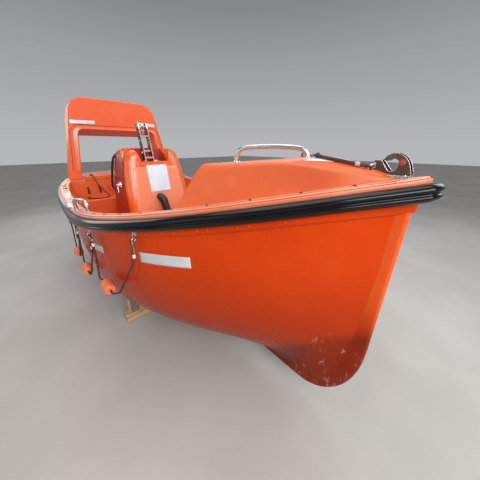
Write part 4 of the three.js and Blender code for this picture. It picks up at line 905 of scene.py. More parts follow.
FLOAT_HALF_PROFILE = ((43.8, 0), (43.6, 26), (42.2, 48), (40, 62), (37, 70), (33, 73.6), (28, 75),
                      (12, 75), (8.2, 74), (8.2, 66))
FLOAT_PROFILE = [(r, -t) for r, t in FLOAT_HALF_PROFILE[:0:-1]] + list(FLOAT_HALF_PROFILE)
for side_name, s in SIDES:
    for k, place in enumerate(("aft", "mid", "fore")):
        points = lifeline_points(EYES[k], EYES[k + 1], s)
        mid, y, low = EYES[k] + 168, points[8][1], points[8][2]
        barrel = make(f"float_{place}_{side_name}_barrel",
                      turned(FLOAT_PROFILE, (mid, y, low), (1, 0, 0), 32), "float_orange",
                      stands_for=f"float_{place}_{side_name}", sharp=50)
        path = declared_cord(f"line_{place}_{side_name}", f"lifeline_{place}_{side_name}",
                             points, LINE_RADIUS, "rope_dark")
    # eyes with their pads, and the crimped tails of the lines
    metal, crimps, tails = [], [], []
    for k, x in enumerate(EYES):
        ex, ey, turn = eye_centre(x)
        c, n = math.cos(turn), math.sin(turn)
        z = eye_z(x)

        def at_eye(along_hull, out, up):
            return (ex + along_hull * c - out * n, s * (ey + along_hull * n + out * c), z + up)

        ring = [at_eye(0, EYE_R * math.cos(t), EYE_R * math.sin(t))
                for t in np.linspace(0, 2 * math.pi, 24, False)]
        metal.append(bent_tube(ring, EYE_WIRE, 10, None, True))
        pad = rounded(((-18, 24, 6), (18, 24, 6), (18, 46, 6), (-18, 46, 6)), 3)
        metal.append(slab(pad, -12.2, -8.6, lambda u, v, w: at_eye(u, w, v)))
        metal.append(slab(((-5, 10), (5, 10), (5, 32), (-5, 32)), -11, 3, lambda u, v, w: at_eye(u, w, v)))
        for u in (-12, 12):
            metal.append(turned([(0, 3), (2.6, 2.6), (4, 1), (4, -1)], at_eye(u, -8.6, 35),
                                (-n, s * c, 0), 10))
        legs = []
        if k < 3:
            legs.append(lifeline_points(x, EYES[k + 1], s)[:8])
        if k > 0:
            legs.append(lifeline_points(EYES[k - 1], x, s)[12:])
        for n_leg, leg in enumerate(legs):
            crimp_z = z - (64 if n_leg == 0 and k < 3 else 104)
            place, down = at_height(leg, crimp_z)
            crimps.append(turned([(7.2, 0), (9.4, 1.5), (10, 6), (10, 22), (9.4, 27),
                                  (7.2, 29)], place, down, 16))
            upper, _ = at_height(leg, crimp_z + 40)
            lower, _ = at_height(leg, crimp_z - 50)
            out = Vector((0, s * 9, 0))
            tails.append(bent_tube([tuple(upper + out * 0.2), tuple(place + Vector((0, 0, 14)) + out * 0.7),
                                    tuple(place + out * 0.9), tuple(lower + out)], 4.6, 8, 6))
            # snap hook and thimble between the eye and the crimp
            link_top, link_low = at_height(leg, z - 24)[0], at_height(leg, crimp_z + 8)[0]
            span = (link_top - link_low).length
            link = [link_low + (link_top - link_low) * (0.5 + 0.5 * math.cos(t)) + Vector((c, s * n, 0)) *
                    (10.5 * math.sin(t)) for t in np.linspace(0, 2 * math.pi, 22, False)]
            if span > 20:
                metal.append(bent_tube([tuple(q) for q in link], 3.2, 8, None, True))
    make(f"line_eyes_{side_name}", join(*metal), "stainless", sharp=45)
    make(f"line_crimps_{side_name}", join(*crimps), "pale_plastic", "plate_white", sharp=50)
    make(f"line_tails_{side_name}", join(*tails), "rope_dark", sharp=60)

TRUNK_AFT, TRUNK_LEAN = 3398, 80
TRUNK_HALF = ((3400, 425), (3600, 348), (3850, 252), (4100, 152), (4300, 32))
TRUNK_TOP = ((3400, 1543), (3600, 1550.6), (3760, 1562), (3860, 1566), (3940, 1558),
             (4060, 1540), (4200, 1523), (4300, 1507))
TRUNK_CREST = ((3400, 1543), (3500, 1547), (3700, 1566), (3800, 1577), (3900, 1586),
               (3960, 1584), (4050, 1572), (4130, 1560), (4200, 1540), (4300, 1511))


def crown_rise(x):
    return along(TRUNK_CREST, x) - along(TRUNK_TOP, x)

def trunk_foot(x):
    return max(half_at(120, x), along(TRUNK_HALF, x) + 12)


PAINTER_RADIUS = 8
PAINTER_WAY = ((4118, -75), (4070, -80), (4006, -84), (3948, -78), (3922, -40), (3900, 20),
               (3852, 110), (3780, 198), (3690, 262), (3640, 306))
PAINTER_END = ((3606, 356), (3582, 400), (3566, 432), (3552, 458))


def trunk_top_at(x, y):
    half = along(TRUNK_HALF, 3798 - (3798 - x) / (1 - TRUNK_LEAN / 400) if x < 3798 else x)
    top, low = along(TRUNK_TOP, x), rim_top(x) - 10
    if abs(y) < half:
        return top + crown_rise(x) * (1 - (y / half) ** 2)
    foot = trunk_foot(x)
    bend = (lerp(foot, half, 0.7), lerp(low, top, 0.8))
    return along(((half, top), bend, (foot, low)), abs(y))


painter_points = [(4176, -52, 1553), (4152, -62, 1559)]
painter_points += [(x, y, trunk_top_at(x, y) + PAINTER_RADIUS + 2.5) for x, y in PAINTER_WAY]
painter_points += [(x, y, trunk_top_at(x, y) + PAINTER_RADIUS + 24) for x, y in PAINTER_END]
loop = [(4128, -69, 1553), (4138, -65, 1544), (4154, -59, 1536), (4170, -54, 1535), (4180, -50, 1541),
        (4181, -50, 1549), (4174, -53, 1554)]
thimble = make("painter_thimble", bent_tube(loop, 6.4, 12, 5), "rope_dark", sharp=60)
thimble_core = make("painter_thimble_core",
                    bent_tube([(4146, -62, 1549), (4158, -58, 1543), (4169, -55, 1542),
                                                       (4174, -53, 1546), (4168, -55, 1550)], 3.2,
                              10, 4), "stainless")
shackle = make("painter_shackle", join(
    bent_tube([(4186, -28, 1549), (4180, -44, 1544), (4172, -56, 1545), (4170, -57, 1552), (4178, -46, 1560),
               (4188, -30, 1564)], 3.6, 10, 4),
    rod((4187, -30, 1545), (4187, -30, 1569), 4.4, 14)), "stainless")
place = Vector(painter_points[2]).lerp(Vector(painter_points[1]), 0.35)
down = (Vector(painter_points[2]) - Vector(painter_points[1])).normalized()
ferrule = make("painter_ferrule",
               turned([(8.4, -10), (10.2, -9), (10.8, -5), (10.8, 6), (10.2, 9), (8.4, 10)], place, down,
                                         18), "sleeve_grey", "plate_white")
end = Vector(painter_points[-1])
way = (end - Vector(painter_points[-2])).normalized()
knot_ring = [end + way * (4 + 13 * math.cos(t)) + Vector((way.y, -way.x, 0.15)) * (10 * math.sin(t)) for t in
             np.linspace(0, 2 * math.pi, 20, False)]
knot = make("painter_knot", join(bent_tube(knot_ring, 7, 10, None, True), ball(end + way * 4, 12, 16)),
            "rope_dark", sharp=60)
declared_cord("painter_line", "painter", painter_points, PAINTER_RADIUS, "rope_dark")

SEAT_Z = 885
cable_points = [(480, -500, 1225), (530, -498, 1227), (566, -494, 1223), (588, -484, 1180),
                (598, -450, 1080), (630, -390, 980), (680, -350, SEAT_Z + 36), (744, -370, SEAT_Z + 19),
                (766, -460, SEAT_Z + 18), (720, -560, SEAT_Z + 18), (660, -600, SEAT_Z + 18)]
plug = make("cable_connector",
            turned([(0, -2), (10, -2), (12, 2), (12, 26), (9, 30), (9, 44), (11, 46), (11, 58), (0, 60)],
                                      (664, -596, SEAT_Z + 18.5), (-60, -40, 0), 20), "black_plastic")
declared_cord("stern_cable_line", "stern_cable", cable_points, 7, "black_plastic")
make("cable_gland", turned([(7.5, -26), (15, -26), (16, -22), (16, -6), (13, -2), (11, 10), (8, 22)],
                           (480, -500, 1225), (50, 2, 2), 24), "black_plastic")

# hull

FLANGE_STEP, TOPSIDE_INSET = 84, 82
STEM_FOOT, STEM_TOE, STEM_RISE, STEM_LEAN = 3980, 4341, 550, 11 / 850
BODY_BOTTOM = ((82, 400), (300, 386), (500, 366), (700, 322), (850, 250), (1000, 178),
               (1250, 112), (1500, 76), (2000, 60), (2600, 54), (3200, 51), (3400, 55), (3600, 68),
               (3800, 94), (3950, 130), (4100, 190), (4200, 270), (4280, 380), (4352, 600))
SECTION_A = ((600, 3.0), (1400, 3.6), (2200, 3.8), (3000, 3.1), (3600, 2.3), (4300, 1.7))
SECTION_B = ((600, 2.8), (1400, 3.9), (2200, 3.8), (3000, 2.4), (3600, 1.6), (3900, 1.35), (4300, 1.1))
FAIR_OUT = ((762, 40), (1000, 90), (1500, 110), (3200, 120), (3600, 110), (3850, 90), (4100, 80), (4250, 60),
            (4352, 40))
FAIR_DOWN = ((762, 0), (950, 0.5), (3200, 0.6), (3700, 0.7), (4000, 0.8), (4352, 0.5))
HULL_LEVELS = (0.992, 0.97, 0.93, 0.88, 0.81, 0.74, 0.67, 0.59, 0.52, 0.45, 0.38, 0.32, 0.27,
               0.22, 0.18, 0.14, 0.1, 0.07, 0.04, 0.018, 0)
FAIR_STEPS = (0.12, 0.25, 0.4, 0.55, 0.7, 0.85, 1)
KEEL_HALF, KEEL_AFT = 26, 762


def keel_bottom(x):
    d = min((x - STEM_FOOT) / (STEM_TOE - STEM_FOOT), 1)
    return 0.0 if d <= 0 else STEM_RISE * (1 - math.sqrt(1 - d * d))


def half_section(x, half):
    """Half section at a station as (half breadth, height), from the flange down to the side of the keel."""
    top, low = sheer(x) - FLANGE_STEP, along(BODY_BOTTOM, x)
    a, b = along(SECTION_A, x), along(SECTION_B, x)
    bar = KEEL_HALF - 2 if x > KEEL_AFT else 0
    out = min(along(FAIR_OUT, x), half * 0.6)
    h1 = 1 - (1 - (out / half) ** b) ** (1 / a) if half > 1 else 0
    points = []
    for t in HULL_LEVELS:
        h = lerp(h1, 1, t)
        points.append((half * (1 - (1 - h) ** a) ** (1 / b), lerp(low, top, h)))
    (ya, za), (yb, zb) = points[-2:]
    down = lerp(low, keel_bottom(x), along(FAIR_DOWN, x))
    if yb > bar:
        bend = (bar, max(zb - (yb - bar) * (za - zb) / max(ya - yb, 1e-6), down))
        end = (bar, min(down, zb))
    else:
        bend, end = (yb if bar else 0, zb), (yb / 2, zb)
    for t in FAIR_STEPS:
        w = ((1 - t) ** 2, 2 * t * (1 - t), t * t)
        points.append((w[0] * yb + w[1] * bend[0] + w[2] * end[0],
                       w[0] * zb + w[1] * bend[1] + w[2] * end[1]))
    return points


def hull_rows(n=150):
    rows = [[(x, y, sheer(x) + dz) for x, y in inset_line(inset, n)]
            for inset, dz in ((56, 37), (56, -37), (58, -39), (63, -40), (63, -76), (65, -80),
                              (70, -82.5), (77, -84), (81, -86))]
    stations = []
    for x, y in inset_line(TOPSIDE_INSET, n):
        top, low = sheer(x) - FLANGE_STEP, along(BODY_BOTTOM, x)
        tuck = 60 * max(0, 1 - x / 900)
        stations.append([(x + tuck * min(1 - (z - low) / (top - low), 1), w, z) for w,
                         z in half_section(x, y)])
    for s in (stations[0], stations[-1]):
        s[:] = [(x, 0, z) for x, _, z in s]
    return rows + [[s[k] for s in stations] for k in range(len(stations[0]))]


def stem_profile():
    """Outside of keel, forefoot and stem in side view."""
    line = [(x, 0) for x in np.linspace(KEEL_AFT, STEM_FOOT, 60)]
    for t in np.radians(np.arange(4, 91, 4)):
        line.append((STEM_FOOT + (STEM_TOE - STEM_FOOT) * math.sin(t), STEM_RISE * (1 - math.cos(t))))
    top = sheer(STEM_TOE) - 77
    line += [(STEM_TOE + STEM_LEAN * (z - STEM_RISE), z) for z in np.linspace(STEM_RISE, top, 20)[1:]]
    return np.array(line)


def keel_rows():
    line = stem_profile()
    run = np.gradient(line, axis=0)
    normal = np.stack([-run[:, 1], run[:, 0]], 1)
    normal /= np.linalg.norm(normal, axis=1)[:, None]
    section = ((-26, 112), (-26, 16), (-25, 10), (-21, 4.5), (-14, 1.2), (-5, 0), (5, 0), (14, 1.2),
               (21, 4.5), (25, 10), (26, 16), (26, 112))
    return [[(p[0] + m[0] * d, y, p[1] + m[1] * d) for y, d in section] for p, m in zip(line, normal)]


make("hull_shell", both_sides(hull_rows()), "gelcoat_orange", stands_for="hull", sharp=40)
make("keel_and_stem", sheet_of(keel_rows(), around=True, ends=True), "gelcoat_stem",
     "gelcoat_orange", sharp=50)

# stern tube where the shaft leaves the skeg
SHAFT_RISE = math.radians(13)
SHAFT_WAY = (math.cos(SHAFT_RISE), 0, math.sin(SHAFT_RISE))


def on_shaft(s):
    return (550 + s * SHAFT_WAY[0], 0, 165 + s * SHAFT_WAY[2])


make("stern_tube", turned([(13, 150), (13, 0), (17, 0), (21, 3), (22, 8), (22, 30), (27, 34),
                           (28, 60), (30, 150)],
                          on_shaft(130), SHAFT_WAY, 28), "bronze", "bronze")


REACH = 1008.8


def ring_round(section, n=200):
    """Closed ring of a section of (inset, height above the fender's middle) round the whole gunwale."""
    lines = [inset_line(inset, n) for inset, _ in section]
    half = [[(line[k][0], -min(line[k][1], REACH), sheer(line[k][0]) + dz) for line,
             (_, dz) in zip(lines, section)]
            for k in range(n + 1)]
    port = [[(x, -y, z) for x, y, z in r] for r in reversed(half[1:-1])]
    return sheet_of(half + port + half[:1], around=True)


LOBE = ((34, 38), (27, 37.2), (21, 35.4), (14.5, 32), (8.5, 28), (3.6, 23), (0.7, 17.5), (0, 13.5),
        (1.2, 9.5), (4, 6.2), (7.4, 4), (8.6, 1.4))
FENDER_SECTION = (*LOBE, *((i, -dz) for i, dz in reversed(LOBE)), (55.5, -38), (55.5, 38))
make("fender_rubbing_strake", ring_round(FENDER_SECTION), "fender_rubber", stands_for="fender", sharp=50)

# deck, rim and cockpit

WALL_TOP = 1100


def cockpit_half(t, outward, front_steps=20):
    """Half outline of the cockpit, aft middle to fore middle, from sole (t 0) to rim (t 1), set outward."""
    aft = 560 - outward
    fore = lerp(3180, COCKPIT_FORE, t) + outward
    inset = lerp(240, COCKPIT_INSET, t) - outward

    def side(x):
        return half_at(inset, x)

    def corner(a, b, c, steps):
        for k in range(1, steps):
            u = k / steps
            yield tuple((1 - u) ** 2 * i + 2 * u * (1 - u) * j + u * u * m for i, j, m in zip(a, b, c))

    out = [(aft, y) for y in np.linspace(0, side(aft) - 70, 9)]
    out += corner((aft, side(aft) - 70), (aft, side(aft + 8)), (aft + 60, side(aft + 60)), 6)
    out += [(x, side(x)) for x in np.linspace(aft + 60, fore - 50, 64)]
    out += corner((fore - 50, side(fore - 50)), (fore, side(fore - 6)), (fore, side(fore) - 50), 6)
    out += [(fore, y) for y in np.linspace(side(fore) - 50, 0, front_steps)]
    return out


def rim_half(inset, front_steps=20):
    """Half line at an inset with as many points as the cockpit's half outline, each abreast of its own."""
    line = inset_line(inset, 400)
    x, y = line[:, 0], line[:, 1]
    aft = x < 700
    stern_y = half_at(COCKPIT_INSET, 560) - 70
    out = [(float(np.interp(v, y[aft], x[aft])), v) for v in np.linspace(0, stern_y, 9)]
    arc = np.concatenate([[0], np.cumsum(np.hypot(np.diff(x), np.diff(y)))])
    s0 = float(np.interp(stern_y, y[aft], arc[aft]))
    s1 = float(np.interp(620, x, arc))
    for s in np.linspace(s0, s1, 7)[1:-1]:
        out.append((float(np.interp(s, arc, x)), float(np.interp(s, arc, y))))
    out += [(v, half_at(inset, v)) for v in np.linspace(620, 3340, 64)]
    s2 = float(np.interp(3340, x, arc))
    s3 = float(np.interp(3420, x, arc))
    for s in np.linspace(s2, s3, 7)[1:-1]:
        out.append((float(np.interp(s, arc, x)), float(np.interp(s, arc, y))))
    for s in s3 + (arc[-1] - s3) * np.linspace(0, 1, front_steps):
        out.append((float(np.interp(s, arc, x)), float(np.interp(s, arc, y))))
    return out


def deck_rows():
    rows = []
    for shrink, z in ((60, SOLE_Z), (34, SOLE_Z + 2), (16, SOLE_Z + 9), (5, SOLE_Z + 22)):
        rows.append([(x, y, z) for x, y in cockpit_half(0, -shrink)])
    rows.append([(x, y, SOLE_Z + 44) for x, y in cockpit_half(0.06, 0)])
    for t in (0.3, 0.6, 0.85, 1.0):
        rows.append([(x, y, lerp(SOLE_Z, WALL_TOP, t)) for x, y in cockpit_half(t, 0)])
    for drop, outward in ((14, 0), (8, 1), (4, 3.5), (1.5, 7.5), (0, 13)):
        rows.append([(x, y, rim_top(x) - drop) for x, y in cockpit_half(1, outward)])
    inner, outer = cockpit_half(1, 13), rim_half(60)
    for t in (0.12, 0.3, 0.5, 0.7, 0.88, 1):
        rows.append([(lerp(a, c, t), lerp(b, d, t)) for (a, b), (c, d) in zip(inner, outer)])
        rows[-1] = [(x, y, rim_top(x)) for x, y in rows[-1]]
    for inset, dz in ((55.5, 65), (53, 62.5), (52.3, 59), (52, 56.6), (49, 56), (45.5, 55.6),
                      (43, 53.8), (42.2, 50.5), (42, 41), (43.5, 38.4), (52, 38)):
        rows.append([(x, y, sheer(x) + dz) for x, y in rim_half(inset)])
    return rows


sole = [(x, y, SOLE_Z) for x, y in cockpit_half(0, -60)]
sole_loop = sole + [(x, -y, z) for x, y, z in reversed(sole[1:-1])]
deck = deck_rows()
RIM_INNER, RIM_STEP = 13, 21
make("deck_and_cockpit", join(both_sides(deck[:RIM_INNER + 1]), (sole_loop, [tuple(range(len(sole_loop)))])),
     "gelcoat_deck", "gelcoat_orange", stands_for="deck_liner", sharp=38)
# the rim's top in its painted sheen, the ledge below it in its painted highlight
make("rim_top", both_sides(deck[RIM_INNER:RIM_STEP + 1]), "gelcoat_rim", "gelcoat_orange", sharp=38)
make("rim_ledge", both_sides(deck[RIM_STEP:]), "gelcoat_ledge", "gelcoat_orange", sharp=38)


def rim_line(inset, dz, radius):
    """Thin bead right round the rim."""
    half = [(x, y, sheer(x) + dz) for x, y in rim_half(inset)]
    return bent_tube(half + [(x, -y, z) for x, y, z in reversed(half[1:-1])], radius, 6, None, True)


make("rim_sealant", join(rim_line(52.2, 57.2, 1.5), rim_line(47, 38.6, 1.6)), "sealant", "gelcoat_orange")
make("stern_step", block((306, -598, 1150), (570, 598, 1215)), "gelcoat_deck", "gelcoat_orange",
     ease=12, segments=4)

bolts = []
for s in (-1, 1):
    for k in range(24):
        x = 128 + 192 * k
        if 200 < x < 3390:
            bolts.append(crown_bolt(x, s * (half_at(0, x) - 99), rim_top(x)))
        elif 3390 < x < 4260:
            bolts.append(crown_bolt(x, s * (trunk_foot(x) + 11), rim_top(x) + 3.8))
make("rim_bolts", join(*bolts), "black_plastic", "stainless")

for side_name, s in SIDES:
    # moulded strip under the fender with its rivets
    n = 150
    section = ((62.8, -41), (58, -41.5), (56.4, -44), (56, -50), (56, -64), (56.4, -70),
               (58, -73), (62.8, -73.8))
    lines = [inset_line(inset, n) for inset, _ in section]
    keep = [k for k in range(n + 1) if 240 < lines[0][k][0] < 4188]
    rows = []
    for k in keep:
        fade = min(max((lines[0][k][0] - 4060) / 120, 0), 1) * 0.9
        rows.append([(lerp(line[k][0], lines[0][k][0], fade), s * lerp(line[k][1], lines[0][k][1], fade),
                      sheer(line[k][0]) + dz) for line, (_, dz) in zip(lines, section)])
    make(f"strip_{side_name}", sheet_of(rows, around=True, ends=True), "gelcoat_orange",
         stands_for=f"flange_strip_{side_name}", sharp=50)
    rivets = []
    for x in np.arange(300, 4040, 93):
        x = x + 24 * math.sin(x * 0.37)
        turn = math.atan2(half_at(0, x + 20) - half_at(0, x - 20), 40)
        rivets.append(turned([(0, 1.6), (2.4, 1.2), (3.6, 0), (3.6, -1)],
                             (x, s * (half_at(0, x) - 56 / math.cos(turn)), sheer(x) - 57),
                             (-math.sin(turn), s * math.cos(turn), 0), 8))
    make(f"strip_rivets_{side_name}", join(*rivets), "rivet", "stainless")

# foredeck trunk


def bend_in(corner, before, after, reach, steps=5):
    """Points that round one corner of a section."""
    c, a, b = Vector(corner), Vector(before), Vector(after)
    p = c + (a - c).normalized() * min(reach, (a - c).length * 0.45)
    q = c + (b - c).normalized() * min(reach, (b - c).length * 0.45)
    return [tuple(p * (1 - t) ** 2 + c * (2 * t * (1 - t)) + q * t * t) for t in np.linspace(0, 1, steps)]


def trunk_rows():
    rows = []
    for x in (*np.linspace(TRUNK_AFT, 4270, 44), 4284, 4294, 4300):
        foot_x = x
        nose = max(0.0, (x - 4270) / 30)
        foot = (foot_x, trunk_foot(min(x, 4270)) * math.sqrt(max(1 - nose * nose, 0.02)), rim_top(x) - 4)
        top_x = x + TRUNK_LEAN * max(0, 1 - (x - TRUNK_AFT) / 400)
        top_y = max(along(TRUNK_HALF, x), 10) * (1 - 0.5 * nose * nose)
        top = (top_x, top_y, along(TRUNK_TOP, top_x))
        shoulder = (lerp(foot[0], top[0], 0.8), lerp(foot[1], top[1], 0.7), lerp(foot[2], top[2], 0.8))
        middle = (top_x, 0, along(TRUNK_CREST, top_x))
        flange = (foot[0], foot[1] + 22, rim_top(x) + 0.6)
        line = [flange, (foot[0], foot[1] + 20, rim_top(x) + 3.2)]
        line += bend_in((foot[0], foot[1], rim_top(x) + 3.4), line[-1], shoulder, 12, 4)
        line += bend_in(shoulder, foot, top, 46, 6)
        line += bend_in(top, shoulder, middle, 20, 5)
        line += [(top_x, top_y * t, lerp(top[2], middle[2], 1 - t * t)) for t in (0.75, 0.5, 0.25)]
        line.append(middle)
        rows.append(line)
    return rows


side_rows = trunk_rows()
aft_face = side_rows[0]
aft_loop = aft_face[2:] + [(x, -y, z) for x, y, z in reversed(aft_face[2:-1])]
nose_face = side_rows[-1]
nose_loop = nose_face + [(x, -y, z) for x, y, z in reversed(nose_face[:-1])]
make("trunk_moulding", join(both_sides(side_rows), (aft_loop, [tuple(range(len(aft_loop)))]),
                            (nose_loop, [tuple(range(len(nose_loop)))])),
     "gelcoat_deep", stands_for="foredeck_trunk", sharp=34, ease=5, segments=3)

# the flange's top takes the rim's painted sheen
make("trunk_flange", both_sides([[(x, y, z + 0.7) for x, y, z in r[:4]] for r in side_rows]), "gelcoat_rim",
     "gelcoat_orange")

trunk_lean = math.atan2(TRUNK_LEAN, along(TRUNK_TOP, TRUNK_AFT + TRUNK_LEAN) - rim_top(TRUNK_AFT) + 10)
trunk_face = face_frame((TRUNK_AFT, 0, rim_top(TRUNK_AFT) - 10), trunk_lean)
hatch_frame = []
for lo, hi in (((-2, -206, 36), (6, 206, 44)), ((-2, -206, 204), (6, 206, 212)),
               ((-2, -206, 40), (6, -199, 208)), ((-2, 201.5, 40), (6, 208, 208))):
    hatch_frame.append(on_frame(block(lo, hi), trunk_face))
make("hatch_coaming", join(*hatch_frame), "gelcoat_deep", ease=1.5)
panel = rounded(((-199, 45, 16), (199, 45, 16), (199, 203, 16), (-199, 203, 16)))
inner = rounded(((-172, 68, 20), (172, 68, 20), (172, 180, 20), (-172, 180, 20)))
make("hatch_door", on_frame(join(slab(panel, 1.5, 13, upright),
                                 slab(inner, 12, 20.5, upright)), trunk_face),
     "gelcoat_deep", body="trunk_hatch", stands_for="trunk_hatch", ease=3.5)
make("hatch_latch", on_frame(join(rod((12, 154, 124), (30, 154, 124), 9),
                                  rod((31, 154, 96), (31, 154, 152), 6)),
                             trunk_face), "black_plastic", "gelcoat_deep", body="trunk_hatch")
for k, up in enumerate((72, 176)):
    make(f"hatch_hinge_{k}",
         on_frame(rod((17, -199, up - 17), (17, -199, up + 17), 4.5), trunk_face), "stainless",
         body="trunk_hatch")

# reflective patches that lie on the trunk's crown and on the rim
def lying_patch(name, corners, lift):
    """Thin patch over four corners (x, y), laid on a surface of height lift(x, y)."""
    (a, b, c, d) = (Vector(p) for p in corners)
    rows = []
    for u in np.linspace(0, 1, 14):
        low, high = a.lerp(b, u), d.lerp(c, u)
        rows.append([(*low.lerp(high, v), 0) for v in np.linspace(0, 1, 6)])
    rows = [[(x, y, lift(x, y)) for x, y, _ in r] for r in rows]
    thicken(make(name, sheet_of(rows), "tape", "plate_white"), 0.9)


def crown_height(x, y):
    half = max(along(TRUNK_HALF, x), 10)
    return along(TRUNK_TOP, x) + crown_rise(x) * (1 - min(abs(y) / half, 1) ** 2) + 1.0


lying_patch("patch_trunk", ((3925, -168), (4065, -60), (4065, 40), (3925, 40)), crown_height)

# hand rail with its foot flanges
RAIL_AFT, RAIL_FORE, RAIL_Z = Vector((3508, -214, 0)), Vector((3874, -34, 0)), 1627
rail_path = [(*RAIL_AFT.lerp(RAIL_FORE, t).xy, z) for t, z in (
    (0, 1500), (0.01, 1572), (0.065, 1613), (0.17, RAIL_Z), (0.84, RAIL_Z), (0.945, 1614),
    (0.995, 1578), (1, 1510))]
feet = []
for x, y in ((RAIL_AFT.x + 3, RAIL_AFT.y + 1.5), (RAIL_FORE.x, RAIL_FORE.y)):
    z = crown_height(x, y) - 1
    feet.append(turned([(13, 4), (24, 4), (27, 2.5), (27.5, -2)], (x, y, z), (0, 0, 1), 28))
    feet += [crown_bolt(x + 19 * math.cos(t), y + 19 * math.sin(t), z + 3.5, 3.4) for t in (0.6, 2.7, 4.8)]
make("rail_tube", join(bent_tube(rail_path, 13, 20, 10), *feet), "stainless",
     stands_for="handrail_starboard", sharp=40)

# stem head fitting: two cheeks with a window, on a bolted base, and a pin through them
cheek = [(4176, 1490), (4318, 1490), (4317, 1534), (4308, 1562), (4299, 1580), (4288, 1593),
         (4275, 1602), (4259, 1609), (4244, 1609), (4231, 1603), (4221, 1593), (4215, 1582), (4229, 1576),
         (4241, 1585), (4256, 1587), (4267, 1580), (4269, 1562), (4265, 1546), (4252, 1538), (4239, 1538),
         (4207, 1580), (4183, 1580), (4176, 1532)]
make("stemhead_cheeks", join(*(slab(cheek, y, y + 8, lengthwise) for y in (-30, 22))),
     "stainless_plate", "stainless", stands_for="bow_hook_frame", sharp=40, ease=1.2, segments=2)
base = [slab(rounded(((4163, -44, 9), (4316, -40, 9), (4316, 40, 9), (4163, 44, 9))), 1513,
             1524, level_plate)]
base += [block((4168, -40, 1500), (4312, -36, 1515)), block((4168, 36, 1500), (4312, 40, 1515))]
make("stemhead_base", join(*base), "stainless", ease=1.6)
make("stemhead_bolts",
     join(*(crown_bolt(x, y, 1524, 5) for x in (4178, 4206, 4300) for y in (-36.5, 36.5))), "stainless")
pin = [turned([(0, s * 37), (9, s * 37), (11.2, s * 35.6), (11.6, s * 33), (11.6, s * 31),
               (8, s * 31)], (4281, 0, 1572),
              (0, 1, 0), 28) for s in (-1, 1)]
make("stemhead_pin", rod((4281, -32, 1572), (4281, 32, 1572), 8), "stainless", stands_for="bow_hook_pin")
make("stemhead_pin_caps", join(*pin), "pin_red", "stainless")

# benches and stern seat

for side_name, _ in SIDES:
    eased(f"side_bench_{side_name}", "gelcoat_deck", 14, segments=4)
eased("stern_seat", "gelcoat_deck", 14, segments=4)

# console

# height, aft edge, half breadth there and forward, front edge, half breadth of the front face
CONSOLE = ((610, 1100, 405, 400, 1938, 330), (880, 1185, 396, 394, 1892, 318),
           (1130, 1264, 386, 386, 1851, 302), (1340, 1331, 368, 368, 1815, 274),
           (1470, 1372, 352, 345, 1793, 256), (1540, 1394, 338, 312, 1780, 236),
           (1580, 1408, 312, 270, 1769, 206), (1604, 1424, 258, 196, 1756, 150))
CONSOLE_Z = [r[0] for r in CONSOLE]


def console_at(z):
    return [float(np.interp(z, CONSOLE_Z, [r[k] for r in CONSOLE])) for k in range(1, 6)]


def console_outline(z, out=0.0, fore_round=1.0):
    """Half outline of the console at a height, from aft middle to fore middle."""
    aft, half, side, fore, front = console_at(z)
    aft, half, side, fore, front = aft - out, half + out, side + out, fore + out, front + out
    points = [(aft, half * t) for t in (0, 0.3, 0.6)]
    points += bend_in((aft, half), (aft, 0), (aft + 200, half), 30, 6)
    for t in (0.2, 0.4, 0.6, 0.8):
        points.append((lerp(aft, fore, t), lerp(half, side, t)))
    points += bend_in((fore - 55, side), (aft, half), (fore, front), 60, 6)
    points += bend_in((fore - 4, front), (fore - 55, side), (fore, 0), 90 * fore_round, 8)
    points += [(fore, front * t) for t in (0.4, 0.2, 0)]
    return points


def console_rows(out, low=610.5):
    rows = []
    zs = [low, 640, 700, 780, 880, 980, 1060, 1130, 1200, 1270, 1340, 1400, 1440, 1470, 1500, 1522,
          1540, 1556, 1570, 1582, 1592, 1599, 1604]
    for z in zs:
        rows.append([(x, y, z + out) for x, y in console_outline(z, out)])
    x_mid = 1590
    last = rows[-1]
    for t, rise in ((0.9, 2.4), (0.75, 4.4), (0.5, 6), (0.25, 6.6), (0, 7)):
        rows.append([(lerp(x_mid, x, t), y * t, last[0][2] + rise) for x, y, _ in last])
    return rows


def console_block(out):
    rows = console_rows(out)
    floor_loop = rows[0] + [(x, -y, z) for x, y, z in reversed(rows[0][1:-1])]
    return join(both_sides(rows), (floor_loop, [tuple(range(len(floor_loop)))]))


# edge of the front shroud on the console's side: height and station
SHELL_EDGE = ((600, 1850), (940, 1800), (1200, 1762), (1420, 1745), (1487, 1725), (1540, 1650),
              (1582, 1516), (1612, 1440))


def shell_line(z):
    return along(SHELL_EDGE, z)


recess_sides = ((172, 1458), (173, 1478), (178, 1505), (187, 1535), (200, 1568), (222, 1600),
                (262, 1640), (262, 1800))
recess_profile = [*recess_sides, *((-y, z) for y, z in reversed(recess_sides))]
RECESS_X0 = 1490
scoop = slab(recess_profile, RECESS_X0, 2050, upright)
aft_of_shell = slab(((900, 500), (1850, 500), *((x, z) for z, x in SHELL_EDGE), (1440, 1700),
                     (900, 1700)), -700, 700,
                    lengthwise)
console_lean = math.atan2(281, 1500 - SOLE_Z)
dash = face_frame((1100, 0, SOLE_Z), console_lean)

body_piece = make("console_moulding", console_block(0), "gelcoat_console_side", "gelcoat_orange",
                  stands_for="console_body", sharp=36)
doorway = on_frame(block((-24, -128, 102), (30, 128, 493)), dash)
carve(body_piece, scoop, doorway)
finish_piece(body_piece, "gelcoat_console_side", "gelcoat_orange", "boat", (), 36, None, 3)
shroud = make("console_shroud", console_block(5), "gelcoat_console", "gelcoat_orange",
              stands_for="console_front_shell", sharp=36)
shroud_recess = [(y * 0.985 if abs(y) < 300 else y, z + 3) for y, z in recess_profile]
carve(shroud, aft_of_shell, slab(shroud_recess, RECESS_X0 - 2, 2050, upright))
finish_piece(shroud, "gelcoat_console", "gelcoat_orange", "boat", (), 36, 3.0, 3)


